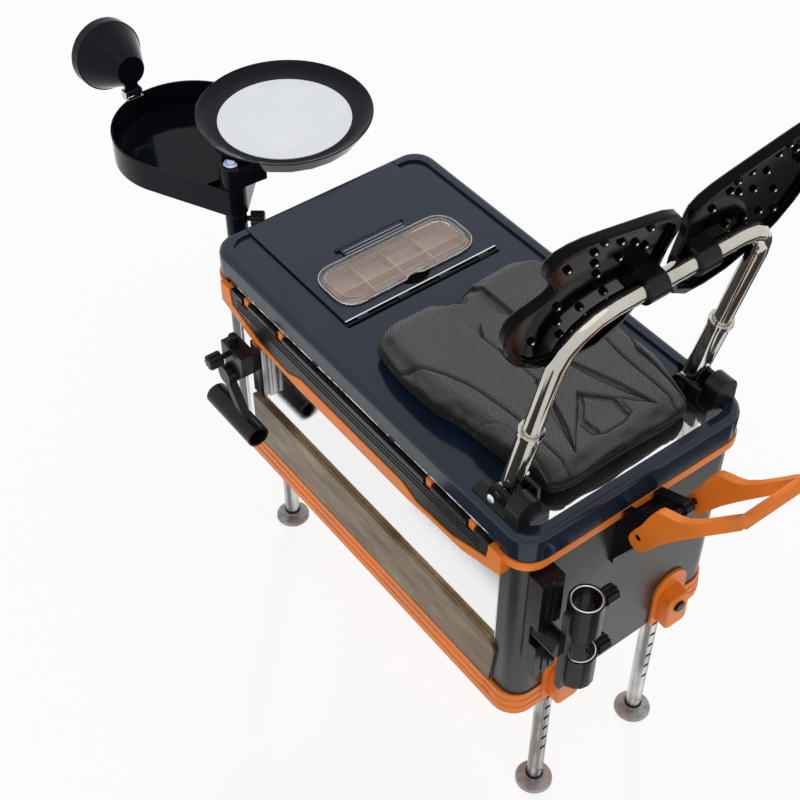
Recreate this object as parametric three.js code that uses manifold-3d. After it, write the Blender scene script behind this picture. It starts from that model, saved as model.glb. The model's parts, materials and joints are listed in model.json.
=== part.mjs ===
// A fishing seat box: a tackle case on four telescopic legs, with a padded seat and a folding backrest on its lid,
// a bait station on a post in front, an umbrella clamp and a carrying handle behind, and a rod rest at the left.
// Frame: the origin is the middle of the case's flat underside, +X right, +Y front, +Z up, in millimetres.
import * as THREE from "three";
import { mergeVertices } from "three/addons/utils/BufferGeometryUtils.js";
import Module from "manifold-3d";

const wasm = await Module();
wasm.setup();

// Driving dimensions
const box = { width: 350, length: 640, height: 350, corner: 34 };
const fit = { seat: 0.3, running: 0.4, pivot: 0.3, panel: 1.2, swing: 0.8 };
const overrun = 6;

const lid = { skirt: 40, sideRise: 8, wall: 5, deck: 4, crown: 4, edge: 9, bead: 8, ledge: 9, ledgeThick: 4 };
const lidRod = { radius: 2.5, inset: 2.5, lug: 4, lugLength: 10, drop: 3, reach: 268 };
const lugShare = [-1, -0.3, 0.3, 1];
const gasket = { width: 5.7 };

const tub = { sideInset: 8, endInset: 5, wall: 4, floor: 4, corner: 27, rim: 4, recess: 2, recessLow: 36, recessHigh: 248 };
const recessReach = 272;
const base = { height: 36, tiers: 3, tierStep: 1, sideInset: 1, pan: 3, panInset: 3, reach: 75, slot: 16, slotHigh: 3 };
const shield = { width: 56, height: 92, thick: 4 };
const trim = { height: 12, proud: 2, back: 3.5, lip: 11 };

const latch = { half: 265, top: 40, thick: 9, ridge: 1.6, ridgePitch: 6.4, ridges: 3, ridgeTop: 5, notch: 14, notchDeep: 11 };
const latchDepth = 51;
const latchEdgeShare = [[1, 0.16], [0.99, 0.5], [0.76, 0.92], [0.51, 1], [0.4, 0.78]];
const trimEdgeShare = [[1, 0.3], [1, 0.64], [0.77, 1.06], [0.53, 1.13], [0.41, 1.2]];
const trimFrameReach = 276;
const keeper = { width: 10, room: 1.5 };
const keeperShare = [-0.875, -0.578, 0.578, 0.875];
const lowerPanel = { thick: 6, height: 84, rear: 278, front: 250, corner: 20 };

const leg = { radius: 11.25, wall: 3.2, flat: 2.2, inside: 62, extension: 236, x: 94, wallGap: 6.4, pitch: 25, slots: 9 };
const legSlot = { width: 9, height: 6 };
const column = { wall: 3.6, height: 118 };
const foot = { radius: 26, rim: 3.5, shoulder: 12, dish: 2, ball: 10 };
const housing = { width: 38, height: 60, depth: 18, low: 2, corner: 9, bevel: 2 };
const button = { radius: 8.5, proud: 4, deep: 9, pin: 2.4, rise: 41, teeth: 6, tooth: 1.1 };

const hatch = { half: 121, rear: 84, lip: 12, thick: 4, wall: 3 };
const hatchRod = { radius: 2.5, sink: 4.5, knuckle: 4.5, knuckleWidth: 16, room: 5.4 };
const knuckleShare = [-0.8, -0.27, 0.27, 0.8];
const windowLid = { half: 101, rear: 103, front: 184, corner: 26, thick: 2.6, dome: 2.2, domeInset: 9, ledge: 4.5 };
const windowTab = { half: 49, reach: 19, thick: 2.4, barrel: 2.1, ear: 5, scoop: 22, scoopDeep: 5 };
const tackle = { depth: 24, wall: 2, rib: 1.6, ribHigh: 15, cross: 3 };

const cushion = { width: 276, rearWidth: 208, front: 28, rear: 292, height: 46, shell: 9, lobe: 7, bolster: 8 };
const cushionGrid = { across: 20, along: 22 };

const bracket = { half: 168, blockInner: 133, height: 38, rear: 296, blockLength: 22, cheek: 5, stripReach: 217, stripHigh: 6 };
const hinge = { y: -250, rise: 18, pin: 4, head: 7.5, headThick: 3 };
const sleeve = { x: 140, radius: 13.5, wall: 2, length: 118, collar: 15.2, collarHigh: 7, lean: 12.5 };
const frame = { radius: 11, wall: 1.8, length: 293, bend: 55, start: 30 };
const padClamp = { x: 35, width: 26, radius: 15.5 };
const pad = { width: 209, height: 240, thick: 12, rim: 4, rimHigh: 6, offset: 10, curl: 5, centre: 107 };
const padShare = [
  [-0.475, -0.02], [-0.485, 0.06], [-0.475, 0.12], [-0.435, 0.16], [-0.37, 0.185], [-0.31, 0.21], [-0.275, 0.245],
  [-0.3, 0.3], [-0.345, 0.35], [-0.36, 0.41], [-0.325, 0.455], [-0.25, 0.475], [-0.15, 0.475], [0, 0.45],
  [0.2, 0.405], [0.32, 0.38], [0.42, 0.345], [0.475, 0.295], [0.485, 0.235], [0.47, 0.17], [0.455, 0.09],
  [0.455, 0], [0.43, -0.16], [0.35, -0.305], [0.22, -0.38], [0.055, -0.375], [-0.13, -0.335], [-0.32, -0.235],
  [-0.425, -0.12],
];
const padStripShare = [-1, 0, 0.5, 1];

const handle = { half: 50, arm: 12, bar: 15, reach: 186, pivot: 4, tilt: 49.4 };
const handleShare = [
  [-0.1, 0.01], [-0.105, -0.06], [-0.05, -0.095], [0.07, -0.08], [0.24, -0.057], [0.54, -0.042], [0.93, -0.032],
  [1.04, -0.02], [1.05, 0.03], [0.95, 0.04], [0.76, 0.04], [0.52, 0.05], [0.42, 0.09], [0.33, 0.14], [0.25, 0.13],
  [0.1, 0.075], [-0.03, 0.045],
];
const handleMount = { y: -366, z: 322, half: 30, high: 84, nose: 9 };

const umbrella = { x: -114, y: -362, radius: 22, wall: 5, high: 55, low: 52, top: 257, lowTop: 159, web: 9, disc: 14 };
const umbrellaBlock = { x: -144, width: 34, depth: 22, high: 84, low: 60, top: 288, lowTop: 170, plate: 9, groove: 3 };
const umbrellaGrooveShare = [0.3, 0.62];
const umbrellaPivot = { x: -145, z: 188, stand: 7.4, thick: 17 };
const knobHeightShare = 0.62;
const knob = { radius: 11, length: 20, neck: 4, neckLength: 9, flutes: 8, flute: 2.2 };

const rodRail = { y: 216, width: 26, thick: 14, low: 152, high: 244, lip: 4 };
const rodHead = { y: 240, width: 50, depth: 24, high: 28, low: 198, plateThick: 5, disc: 15, screwY: 252 };
const rodTube = { x: -207, radius: 16.5, wall: 3, length: 106, y: 236, z: 112, arm: 12, armWidth: 16, armY: 203, pivotY: 250, pivotZ: 181 };

const post = { x: -75, y: 418, radius: 11, wall: 2, low: 214, flange: 15.5, flangeHigh: 5 };
const postSleeve = { radius: 15.5, low: 196, arm: 26, armThick: 12, foot: 64, footHigh: 70, footThick: 6 };
const dish = { x: -52, y: 577, radius: 110, wall: 2.6, low: 294, high: 338, boss: 18, step: 9, stepHigh: 7, lip: 2.2 };
const ring = { x: 47, y: 468, radius: 127, floor: 103, disc: 96, top: 381, depth: 15, skirt: 24, taper: 14, wall: 2.6, boss: 17 };
const ringBolt = { radius: 5, head: 11, headHigh: 4, bossTop: 372 };
const disc = { thick: 1.6 };
const smallKnobShare = 0.62;
const cup = { x: -80, y: 676, z: 386, radius: 52, neck: 22, length: 62, band: 17, wall: 2.4, tilt: -5, yaw: 2 };
const clip = { thick: 3, plate: 20, pin: 3.2, ear: 8 };

// Levels and faces worked out from the driving dimensions
const halfX = box.width / 2;
const halfY = box.length / 2;
const top = box.height;
const deckZ = top - lid.crown;
const skirtZ = top - lid.skirt;
const sideSkirtZ = skirtZ + lid.sideRise;
const tubX = halfX - tub.sideInset;
const tubY = halfY - tub.endInset;
const panelX = tubX - tub.recess;
const tubTop = skirtZ - tub.rim;
const trimTop = skirtZ - fit.swing;
const trimLow = trimTop - trim.height;
const rodZ = sideSkirtZ - lidRod.drop;
const rodX = halfX - lidRod.inset;
const latchTop = top - latch.top;
const legY = tubY - leg.wallGap - leg.radius;
const latchX = tubX + fit.seat + trim.back + fit.seat;
const keeperLow = latchTop - latch.notchDeep + keeper.room;

const colours = {
  case: [0x23262a, 0.3, 0.1],
  lid: [0x2b303a, 0.18, 0.1],
  orange: [0xe8722a, 0.4, 0],
  black: [0x111214, 0.35, 0],
  rubber: [0x1a1a1b, 0.8, 0],
  chrome: [0xd9dbdd, 0.12, 1],
  alloy: [0xa9acaf, 0.35, 0.9],
  bronze: [0x6d6355, 0.25, 0.6],
  smoked: [0x8c827b, 0.08, 0],
  fabric: [0x2a2a2c, 0.85, 0],
  inlay: [0xe9ebee, 0.6, 0],
};

function material(name) {
  const [color, roughness, metalness] = colours[name];
  return new THREE.MeshStandardMaterial({ color, roughness, metalness });
}

// Joining and cutting
function solid(geometry) {
  const g = geometry.index ? geometry.toNonIndexed() : geometry.clone();
  const bare = new THREE.BufferGeometry().setAttribute("position", g.getAttribute("position"));
  const merged = mergeVertices(bare, 1e-4);
  return new wasm.Manifold(
    new wasm.Mesh({
      numProp: 3,
      vertProperties: merged.attributes.position.array,
      triVerts: new Uint32Array(merged.index.array),
    }),
  );
}

function join(first, ...others) {
  return others.reduce((sum, other) => sum.add(other), first);
}

function cut(first, ...others) {
  return others.reduce((rest, other) => rest.subtract(other), first);
}

function geometryOf(manifold) {
  const mesh = manifold.getMesh();
  const g = new THREE.BufferGeometry();
  g.setAttribute("position", new THREE.BufferAttribute(new Float32Array(mesh.vertProperties), 3));
  g.setIndex(new THREE.BufferAttribute(new Uint32Array(mesh.triVerts), 1));
  g.computeVertexNormals();
  return g;
}

const seatBox = new THREE.Group();

function piece(name, manifold, look) {
  const mesh = new THREE.Mesh(geometryOf(manifold), material(look));
  mesh.name = name;
  seatBox.add(mesh);
  return mesh;
}

// Shapes
function roundedRect(hx, hy, radius, cx = 0, cy = 0) {
  const r = Math.min(radius, hx, hy);
  const s = new THREE.Shape();
  s.moveTo(cx - hx + r, cy - hy);
  s.lineTo(cx + hx - r, cy - hy);
  s.absarc(cx + hx - r, cy - hy + r, r, -Math.PI / 2, 0);
  s.lineTo(cx + hx, cy + hy - r);
  s.absarc(cx + hx - r, cy + hy - r, r, 0, Math.PI / 2);
  s.lineTo(cx - hx + r, cy + hy);
  s.absarc(cx - hx + r, cy + hy - r, r, Math.PI / 2, Math.PI);
  s.lineTo(cx - hx, cy - hy + r);
  s.absarc(cx - hx + r, cy - hy + r, r, Math.PI, Math.PI * 1.5);
  return s;
}

function polygon(points) {
  return new THREE.Shape(points.map(([x, y]) => new THREE.Vector2(x, y)));
}

function smoothOutline(points, count) {
  const loop = new THREE.CatmullRomCurve3(points.map(([x, y]) => new THREE.Vector3(x, y, 0)), true, "centripetal");
  return polygon(loop.getPoints(count).slice(0, count).map((p) => [p.x, p.y]));
}

// A prism of a shape drawn in X and Y, from z0 up to z1
function upright(shape, z0, z1, curveSegments = 4) {
  const g = new THREE.ExtrudeGeometry(shape, { depth: z1 - z0, bevelEnabled: false, curveSegments });
  g.translate(0, 0, z0);
  return solid(g);
}

// A prism of a shape drawn in Y and Z, from x0 to x1
function acrossX(shape, x0, x1, curveSegments = 4) {
  const g = new THREE.ExtrudeGeometry(shape, { depth: x1 - x0, bevelEnabled: false, curveSegments });
  g.applyMatrix4(new THREE.Matrix4().makeBasis(
    new THREE.Vector3(0, 1, 0), new THREE.Vector3(0, 0, 1), new THREE.Vector3(1, 0, 0)));
  g.translate(x0, 0, 0);
  return solid(g);
}

// A prism of a shape drawn in X and Z, from y0 to y1
function acrossY(shape, y0, y1, curveSegments = 4) {
  const g = new THREE.ExtrudeGeometry(shape, { depth: y1 - y0, bevelEnabled: false, curveSegments });
  g.applyMatrix4(new THREE.Matrix4().makeBasis(
    new THREE.Vector3(1, 0, 0), new THREE.Vector3(0, 0, 1), new THREE.Vector3(0, -1, 0)));
  g.translate(0, y1, 0);
  return solid(g);
}

function block(x0, x1, y0, y1, z0, z1) {
  const g = new THREE.BoxGeometry(x1 - x0, y1 - y0, z1 - z0);
  g.translate((x0 + x1) / 2, (y0 + y1) / 2, (z0 + z1) / 2);
  return solid(g);
}

const axisX = new THREE.Vector3(1, 0, 0);
const axisY = new THREE.Vector3(0, 1, 0);
const axisZ = new THREE.Vector3(0, 0, 1);

function aimed(geometry, axis, at) {
  const turn = new THREE.Quaternion().setFromUnitVectors(axisY, axis.clone().normalize());
  geometry.applyQuaternion(turn);
  geometry.translate(at.x, at.y, at.z);
  return geometry;
}

// A rod whose middle line starts at a point and runs along an axis
function rod(x, y, z, axis, radius, length, sides = 20) {
  const g = new THREE.CylinderGeometry(radius, radius, length, sides);
  g.translate(0, length / 2, 0);
  return solid(aimed(g, axis, new THREE.Vector3(x, y, z)));
}

// A turned form: the profile's pairs are radius and height along the axis
function turned(profile, x, y, z, axis = axisZ, sides = 32) {
  const g = new THREE.LatheGeometry(profile.map(([r, h]) => new THREE.Vector2(r, h)), sides);
  return solid(aimed(g, axis, new THREE.Vector3(x, y, z)));
}

// A round outline with hollows pressed into it, for knobs and ribbed buttons
function fluted(radius, depth, count) {
  const points = [];
  const stepsShare = [0, 0.45, 0.72];
  for (let i = 0; i < count; i += 1) {
    stepsShare.forEach((share, k) => {
      const a = ((i + share) / count) * Math.PI * 2;
      const r = k === 2 ? radius - depth : radius;
      points.push([r * Math.cos(a), r * Math.sin(a)]);
    });
  }
  return polygon(points);
}

// A prism of any outline, with a softened end, that starts at a point and runs along an axis
function prismAlong(outline, x, y, z, axis, length, bevel) {
  const g = new THREE.ExtrudeGeometry(outline, {
    depth: length - bevel, bevelEnabled: true, bevelThickness: bevel, bevelSize: bevel, bevelOffset: -bevel,
    bevelSegments: 1, steps: 1,
  });
  g.rotateX(-Math.PI / 2);
  const form = solid(aimed(g, axis, new THREE.Vector3(x, y, z)));
  const back = axis.clone().normalize();
  const start = new THREE.Vector3(x, y, z).addScaledVector(back, -2 * bevel);
  return cut(form, rod(start.x, start.y, start.z, axis, box.corner, 2 * bevel, 8));
}

function moved(manifold, matrix) {
  const g = geometryOf(manifold);
  g.applyMatrix4(matrix);
  return solid(g);
}

function mirrored(manifold) {
  const g = geometryOf(manifold).toNonIndexed();
  const p = g.getAttribute("position");
  for (let i = 0; i < p.count; i += 3) {
    const [a, b, c] = [0, 1, 2].map((k) => new THREE.Vector3().fromBufferAttribute(p, i + k));
    [a, c, b].forEach((v, k) => p.setXYZ(i + k, -v.x, v.y, v.z));
  }
  return solid(g);
}

function degrees(angle) {
  return THREE.MathUtils.degToRad(angle);
}

// The lid's outer form: a rounded plate with a rolled top edge
function lidForm(bottom) {
  const shape = roundedRect(halfX - lid.edge, halfY - lid.edge, box.corner - lid.edge);
  const g = new THREE.ExtrudeGeometry(shape, {
    depth: top - bottom - lid.edge, bevelEnabled: true, bevelThickness: lid.edge, bevelSize: lid.edge,
    bevelSegments: 3, curveSegments: 3,
  });
  g.translate(0, 0, bottom);
  const whole = solid(g);
  return cut(whole, block(-box.width, box.width, -box.length, box.length, bottom - box.height, bottom));
}

const hatchRodZ = top - hatchRod.sink;
const hatchLipZ = top - hatch.lip;
const windowMidY = (windowLid.rear + windowLid.front) / 2;
const windowHalfY = (windowLid.front - windowLid.rear) / 2;

function lidShell() {
  const inside = roundedRect(halfX - lid.wall, halfY - lid.wall, box.corner - lid.wall);
  const basin = roundedRect(halfX - lid.edge - lid.bead, halfY - lid.edge - lid.bead, box.corner - lid.edge);
  let shell = lidForm(skirtZ);
  shell = cut(shell, upright(inside, skirtZ - overrun, deckZ - lid.deck), upright(basin, deckZ, top + overrun));
  const opening = hatch.half + fit.panel;
  const rail = opening - lid.ledge;
  shell = join(shell, cut(
    block(-opening - lid.wall, opening + lid.wall, hatch.rear - hatchRod.room - lid.wall, halfY - lid.wall - fit.seat,
      hatchLipZ - fit.seat - lid.ledgeThick, deckZ - lid.deck),
    block(-rail, rail, hatch.rear + hatchRod.room, halfY - lid.wall - lid.ledge, skirtZ, top)));
  shell = cut(shell,
    block(-opening, opening, hatch.rear - hatchRod.room, halfY + overrun, hatchLipZ - fit.seat, top + overrun));
  const sideReach = trimFrameReach + fit.panel;
  for (const side of [-1, 1]) {
    const inner = side * (halfX - lid.wall - overrun);
    const outer = side * (halfX + overrun);
    shell = cut(shell, block(Math.min(inner, outer), Math.max(inner, outer), -sideReach, sideReach,
      skirtZ - overrun, sideSkirtZ));
    for (const share of lugShare) {
      const y = share * (lidRod.reach - lidRod.lugLength / 2);
      shell = join(shell, rod(side * rodX, y - lidRod.lugLength / 2, rodZ, axisY, lidRod.lug, lidRod.lugLength, 6));
    }
    shell = cut(shell, rod(side * rodX, -lidRod.reach - overrun, rodZ, axisY,
      lidRod.radius + fit.running, 2 * (lidRod.reach + overrun), 8));
  }
  return shell;
}

function lidRodPiece(side) {
  return rod(side * rodX, -lidRod.reach, rodZ, axisY, lidRod.radius, 2 * lidRod.reach, 12);
}

function lidGasket() {
  const low = tubTop + fit.seat;
  const high = rodZ - lidRod.lug - fit.seat;
  return cut(upright(tubOutline(0), low, high), upright(tubOutline(-gasket.width, tub.corner - gasket.width),
    low - overrun, high + overrun, 3));
}

// The case
function tubOutline(extra, radius = tub.corner) {
  return roundedRect(tubX + extra, tubY + extra, radius);
}

const legPlaces = [
  ["rear_left", -1, -1], ["rear_right", 1, -1], ["front_left", -1, 1], ["front_right", 1, 1],
];

function bodyTub() {
  let tubForm = upright(tubOutline(0), base.pan + fit.seat, tubTop);
  tubForm = cut(tubForm, upright(tubOutline(-tub.wall, tub.corner - tub.wall),
    base.pan + fit.seat + tub.floor, tubTop + overrun));
  for (const side of [-1, 1]) {
    const face = side * panelX;
    const out = side * (tubX + overrun);
    tubForm = cut(tubForm, block(Math.min(face, out), Math.max(face, out), -recessReach, recessReach,
      tub.recessLow, tub.recessHigh));
    tubForm = join(tubForm, block(Math.min(face, face - side * tub.wall), Math.max(face, face - side * tub.wall),
      -recessReach, recessReach, tub.recessLow - tub.wall, tub.recessHigh + tub.wall));
  }
  for (const [, sx, sy] of legPlaces) {
    const x = sx * leg.x;
    const y = sy * legY;
    const outer = leg.radius + fit.pivot + column.wall;
    const wallY = sy * (tubY - tub.wall / 2);
    tubForm = join(tubForm, rod(x, y, base.pan + fit.seat, axisZ, outer, column.height, 12),
      block(x - outer, x + outer, Math.min(y, wallY), Math.max(y, wallY), base.pan + fit.seat, column.height));
  }
  for (const [, sx, sy] of legPlaces) {
    const x = sx * leg.x;
    const y = sy * legY;
    tubForm = cut(tubForm, rod(x, y, -overrun, axisZ, leg.radius + fit.running, column.height + 2 * overrun, 12),
      rod(x, y, button.rise + housing.low, new THREE.Vector3(0, sy, 0), button.pin + fit.running,
        tubY - legY + overrun, 8));
  }
  return tubForm;
}

function baseFrame() {
  const tierHigh = base.height / base.tiers;
  let band = null;
  for (let tier = 0; tier < base.tiers; tier += 1) {
    const inset = base.sideInset + tier * base.tierStep;
    const ringForm = upright(roundedRect(halfX - inset, halfY - inset, box.corner - inset),
      tier * tierHigh, (tier + 1) * tierHigh, 3);
    band = band ? join(band, ringForm) : ringForm;
  }
  band = cut(band, upright(tubOutline(fit.seat, tub.corner), base.pan, base.height + overrun));
  for (const side of [-1, 1]) {
    const near = side * (tubY - base.panInset);
    const far = side * (halfY + overrun);
    band = cut(band, block(-base.reach, base.reach, Math.min(near, far), Math.max(near, far),
      -overrun, base.height + overrun));
  }
  for (const [, sx, sy] of legPlaces) {
    const y0 = sy * (tubY + fit.seat);
    const y1 = sy * (tubY + fit.seat + shield.thick);
    const plate = acrossY(roundedRect(shield.width / 2, shield.height / 2, shield.width / 2, sx * leg.x, shield.height / 2),
      Math.min(y0, y1), Math.max(y0, y1), 3);
    band = join(band, cut(plate, block(-halfX, halfX, -halfY, halfY, -overrun, base.height / 2)));
    band = join(band, block(sx * leg.x - shield.width / 2, sx * leg.x + shield.width / 2,
      Math.min(y0, y1), Math.max(y0, y1), 0, base.height));
    band = cut(band, rod(sx * leg.x, sy * legY, -overrun, axisZ, leg.radius + fit.running, base.height / 2 + overrun, 12),
      rod(sx * leg.x, sy * legY, button.rise + housing.low, new THREE.Vector3(0, sy, 0),
        button.pin + fit.running, halfY, 8));
    const slotY = sy * (halfY - box.corner - base.slot);
    const slotShares = [0.4, 0.72];
    for (const share of slotShares) {
      const z = share * base.height;
      const deep = sx * (halfX - base.sideInset - base.tiers * base.tierStep);
      const out = sx * (halfX + overrun);
      band = cut(band, block(Math.min(deep, out), Math.max(deep, out), slotY - base.slot / 2, slotY + base.slot / 2,
        z, z + base.slotHigh));
    }
  }
  return band;
}

// The long side's latch panel, drawn in Y and Z, hangs from the level just under the lid's side edge
function sideOutline(shares, reach, depth, level) {
  const half = shares.map(([u, v]) => [u * reach, level - v * depth]);
  const other = half.map(([y, z]) => [-y, z]).reverse();
  return [[reach, level], ...half, ...other, [-reach, level]];
}

function bodyTrim() {
  const ringOuter = roundedRect(halfX + trim.proud, halfY + trim.proud / 2, box.corner);
  let ringForm = cut(upright(ringOuter, trimLow, trimTop),
    upright(tubOutline(fit.seat), trimLow - overrun, trimTop + overrun));
  const faceX = panelX + tub.recess + fit.seat;
  for (const side of [-1, 1]) {
    const x0 = side * faceX;
    const x1 = side * (faceX + trim.back + trim.lip - fit.seat);
    const outline = polygon(sideOutline(trimEdgeShare, trimFrameReach + trim.height, latchDepth, trimTop));
    const window = polygon(sideOutline(latchEdgeShare, latch.half + fit.panel, latchDepth + fit.panel,
      latchTop).map(([y, z]) => [y, z === latchTop ? top : z]));
    const cutStart = side * (faceX + trim.back);
    const cutEnd = side * (halfX + box.corner);
    const band = cut(acrossX(outline, Math.min(x0, x1), Math.max(x0, x1)),
      acrossX(window, Math.min(cutStart, cutEnd), Math.max(cutStart, cutEnd)));
    ringForm = cut(ringForm, acrossX(window, Math.min(cutStart, cutEnd), Math.max(cutStart, cutEnd)));
    ringForm = join(ringForm, band);
    for (const share of keeperShare) {
      const y = share * latch.half;
      const x2 = side * (rodX + keeper.width / 2);
      ringForm = join(ringForm, block(Math.min(x0, x2), Math.max(x0, x2), y - keeper.width / 2, y + keeper.width / 2,
        keeperLow, rodZ - lidRod.radius));
    }
    ringForm = cut(ringForm, rod(side * rodX, -lidRod.reach - overrun, rodZ, axisY,
      lidRod.radius + fit.running, 2 * (lidRod.reach + overrun), 12));
  }
  return ringForm;
}


function latchBar(side) {
  const outline = polygon(sideOutline(latchEdgeShare, latch.half, latchDepth, latchTop));
  let bar = acrossX(outline, latchX, latchX + latch.thick);
  for (let i = 0; i < latch.ridges; i += 1) {
    const z = latchTop - latch.ridgeTop - (i + 1) * latch.ridgePitch;
    bar = cut(bar, block(latchX + latch.thick - latch.ridge, latchX + latch.thick + overrun,
      -latch.half + latch.notch, latch.half - latch.notch, z, z + latch.ridgePitch / 2));
  }
  for (const share of keeperShare) {
    const y = share * latch.half;
    bar = cut(bar, block(latchX - overrun, latchX + latch.thick + overrun, y - latch.notch / 2, y + latch.notch / 2,
      latchTop - latch.notchDeep, latchTop + overrun));
  }
  return side > 0 ? bar : mirrored(bar);
}

function lowerSidePanel(side) {
  const low = base.height + fit.seat;
  const high = low + lowerPanel.height;
  const s = new THREE.Shape();
  s.moveTo(-lowerPanel.rear + lowerPanel.corner, high);
  s.absarc(-lowerPanel.rear + lowerPanel.corner, high - lowerPanel.corner, lowerPanel.corner, Math.PI / 2, Math.PI);
  s.lineTo(-recessReach + fit.seat, low);
  s.lineTo(lowerPanel.front, low);
  s.lineTo(lowerPanel.front, high);
  const whole = acrossX(s, panelX + fit.seat, panelX + fit.seat + lowerPanel.thick);
  const inRecess = block(0, halfX, -recessReach + fit.seat, recessReach - fit.seat, low, high + overrun);
  const proud = block(tubX + fit.seat, halfX, -halfY, halfY, low, high + overrun);
  const shaped = join(whole.intersect(inRecess), whole.intersect(proud));
  return side > 0 ? shaped : mirrored(shaped);
}

// Legs and their locks
function legTube(sx, sy) {
  const x = sx * leg.x;
  const y = sy * legY;
  const length = leg.inside + leg.extension;
  let tube = rod(x, y, -leg.extension, axisZ, leg.radius, length, 12);
  const flatY = sy * (legY + leg.radius - leg.flat);
  const outY = sy * (legY + leg.radius + overrun);
  tube = cut(tube, block(x - leg.radius, x + leg.radius, Math.min(flatY, outY), Math.max(flatY, outY),
    -leg.extension + leg.radius, leg.inside + overrun));
  tube = cut(tube, rod(x, y, -leg.extension - overrun, axisZ, leg.radius - leg.wall, length + 2 * overrun, 8));
  for (let i = 0; i < leg.slots; i += 1) {
    const z = button.rise + housing.low - i * leg.pitch;
    tube = cut(tube, block(x - legSlot.width / 2, x + legSlot.width / 2, Math.min(y, outY), Math.max(y, outY),
      z - legSlot.height / 2, z + legSlot.height / 2));
  }
  return tube;
}

const footBore = leg.radius - leg.wall;
const footDrop = Math.sqrt(foot.ball ** 2 - (footBore - fit.pivot) ** 2);
const footCentre = -leg.extension - footDrop;
const groundZ = footCentre - foot.ball + foot.dish;

function legFoot(sx, sy) {
  const skirt = foot.rim + foot.dish;
  const start = footCentre - groundZ;
  const neck = skirt + foot.dish / 2;
  const meet = Math.asin((neck - start) / foot.ball);
  const profile = [[0, 0], [foot.radius - foot.dish / 2, 0], [foot.radius, foot.dish / 2], [foot.radius, foot.rim],
    [foot.radius - foot.dish, skirt], [foot.shoulder, neck]];
  const arcSteps = 3;
  for (let i = 0; i <= arcSteps; i += 1) {
    const a = meet + (Math.PI / 2 - meet) * (i / arcSteps);
    profile.push([i === arcSteps ? 0 : foot.ball * Math.cos(a), start + foot.ball * Math.sin(a)]);
  }
  return turned(profile, sx * leg.x, sy * legY, groundZ, axisZ, 12);
}

const housingY = tubY + fit.seat + shield.thick + fit.seat;

function lockHousing(sx, sy) {
  const outline = roundedRect(housing.width / 2 - housing.bevel, housing.height / 2 - housing.bevel,
    housing.corner - housing.bevel, sx * leg.x, housing.low + housing.height / 2);
  const g = new THREE.ExtrudeGeometry(outline, {
    depth: housing.depth - housing.bevel, bevelEnabled: true, bevelThickness: housing.bevel,
    bevelSize: housing.bevel, bevelSegments: 1, curveSegments: 2,
  });
  g.applyMatrix4(new THREE.Matrix4().makeBasis(
    new THREE.Vector3(1, 0, 0), new THREE.Vector3(0, 0, 1), new THREE.Vector3(0, -1, 0)));
  if (sy > 0) {
    g.rotateZ(Math.PI);
    g.translate(2 * sx * leg.x, 0, 0);
  }
  g.translate(0, sy * housingY, 0);
  const inner = sy * housingY;
  const behind = sy * (housingY - box.corner);
  let body = cut(solid(g), block(-halfX, halfX, Math.min(inner, behind), Math.max(inner, behind), -halfX, halfX));
  const z = housing.low + button.rise;
  const pocketStart = sy * (housingY + housing.depth - button.deep - fit.swing);
  body = cut(body,
    rod(sx * leg.x, pocketStart, z, new THREE.Vector3(0, sy, 0), button.radius + fit.running, housing.depth, 14),
    rod(sx * leg.x, inner - sy * overrun, z, new THREE.Vector3(0, sy, 0), button.pin + fit.running, housing.depth, 8));
  return body;
}

const buttonTravel = button.proud - fit.swing;

function lockButton(sx, sy) {
  const z = housing.low + button.rise;
  const out = new THREE.Vector3(0, sy, 0);
  const face = housingY + housing.depth + button.proud;
  const start = housingY + housing.depth - button.deep + buttonTravel;
  const cap = prismAlong(fluted(button.radius, button.tooth, button.teeth), sx * leg.x, sy * start, z, out,
    face - start, button.tooth);
  const tip = legY + leg.radius - leg.flat + fit.running + buttonTravel;
  return join(cap, rod(sx * leg.x, sy * tip, z, out, button.pin, start - tip + button.tooth, 8));
}

// The front hatch with its window and tackle tray
function hatchPanel() {
  const rearEdge = hatch.rear + hatchRod.radius + fit.running;
  const area = block(-hatch.half, hatch.half, rearEdge, halfY + overrun, hatchLipZ, top + overrun);
  let panel = lidForm(skirtZ).intersect(area);
  panel = cut(panel, block(-hatch.half + hatch.wall, hatch.half - hatch.wall, rearEdge - overrun,
    halfY - lid.edge - hatch.wall, hatchLipZ - overrun, top - hatch.thick));
  const hole = roundedRect(windowLid.half - windowLid.ledge, windowHalfY - windowLid.ledge,
    windowLid.corner - windowLid.ledge, 0, windowMidY);
  panel = cut(panel, upright(hole, hatchLipZ - overrun, top + overrun));
  for (const share of knuckleShare) {
    const x = share * hatch.half;
    const half = hatchRod.knuckleWidth / 2;
    panel = join(panel, rod(x - half, hatch.rear, hatchRodZ, axisX, hatchRod.knuckle, hatchRod.knuckleWidth, 10),
      block(x - half, x + half, hatch.rear, rearEdge + hatchRod.knuckle, hatchRodZ, hatchRodZ + hatchRod.knuckle));
  }
  panel = cut(panel, rod(-hatch.half - overrun, hatch.rear, hatchRodZ, axisX, hatchRod.radius + fit.pivot,
    2 * (hatch.half + overrun), 12));
  const earX = windowTab.half + fit.running;
  for (const side of [-1, 1]) {
    const x0 = side > 0 ? earX : -earX - windowTab.ear;
    panel = join(panel, cut(
      block(x0, x0 + windowTab.ear, windowAxisY - windowTab.barrel, windowAxisY + windowTab.barrel,
        top - hatch.thick / 2, windowAxisZ + windowTab.barrel / 2),
      rod(x0 - overrun, windowAxisY, windowAxisZ, axisX, windowTab.barrel / 2 + fit.pivot, windowTab.ear + 2 * overrun, 10)));
  }
  return panel;
}

function hatchHingeRod() {
  const half = hatch.half + fit.panel - fit.seat;
  return rod(-half, hatch.rear, hatchRodZ, axisX, hatchRod.radius, 2 * half, 12);
}

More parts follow.
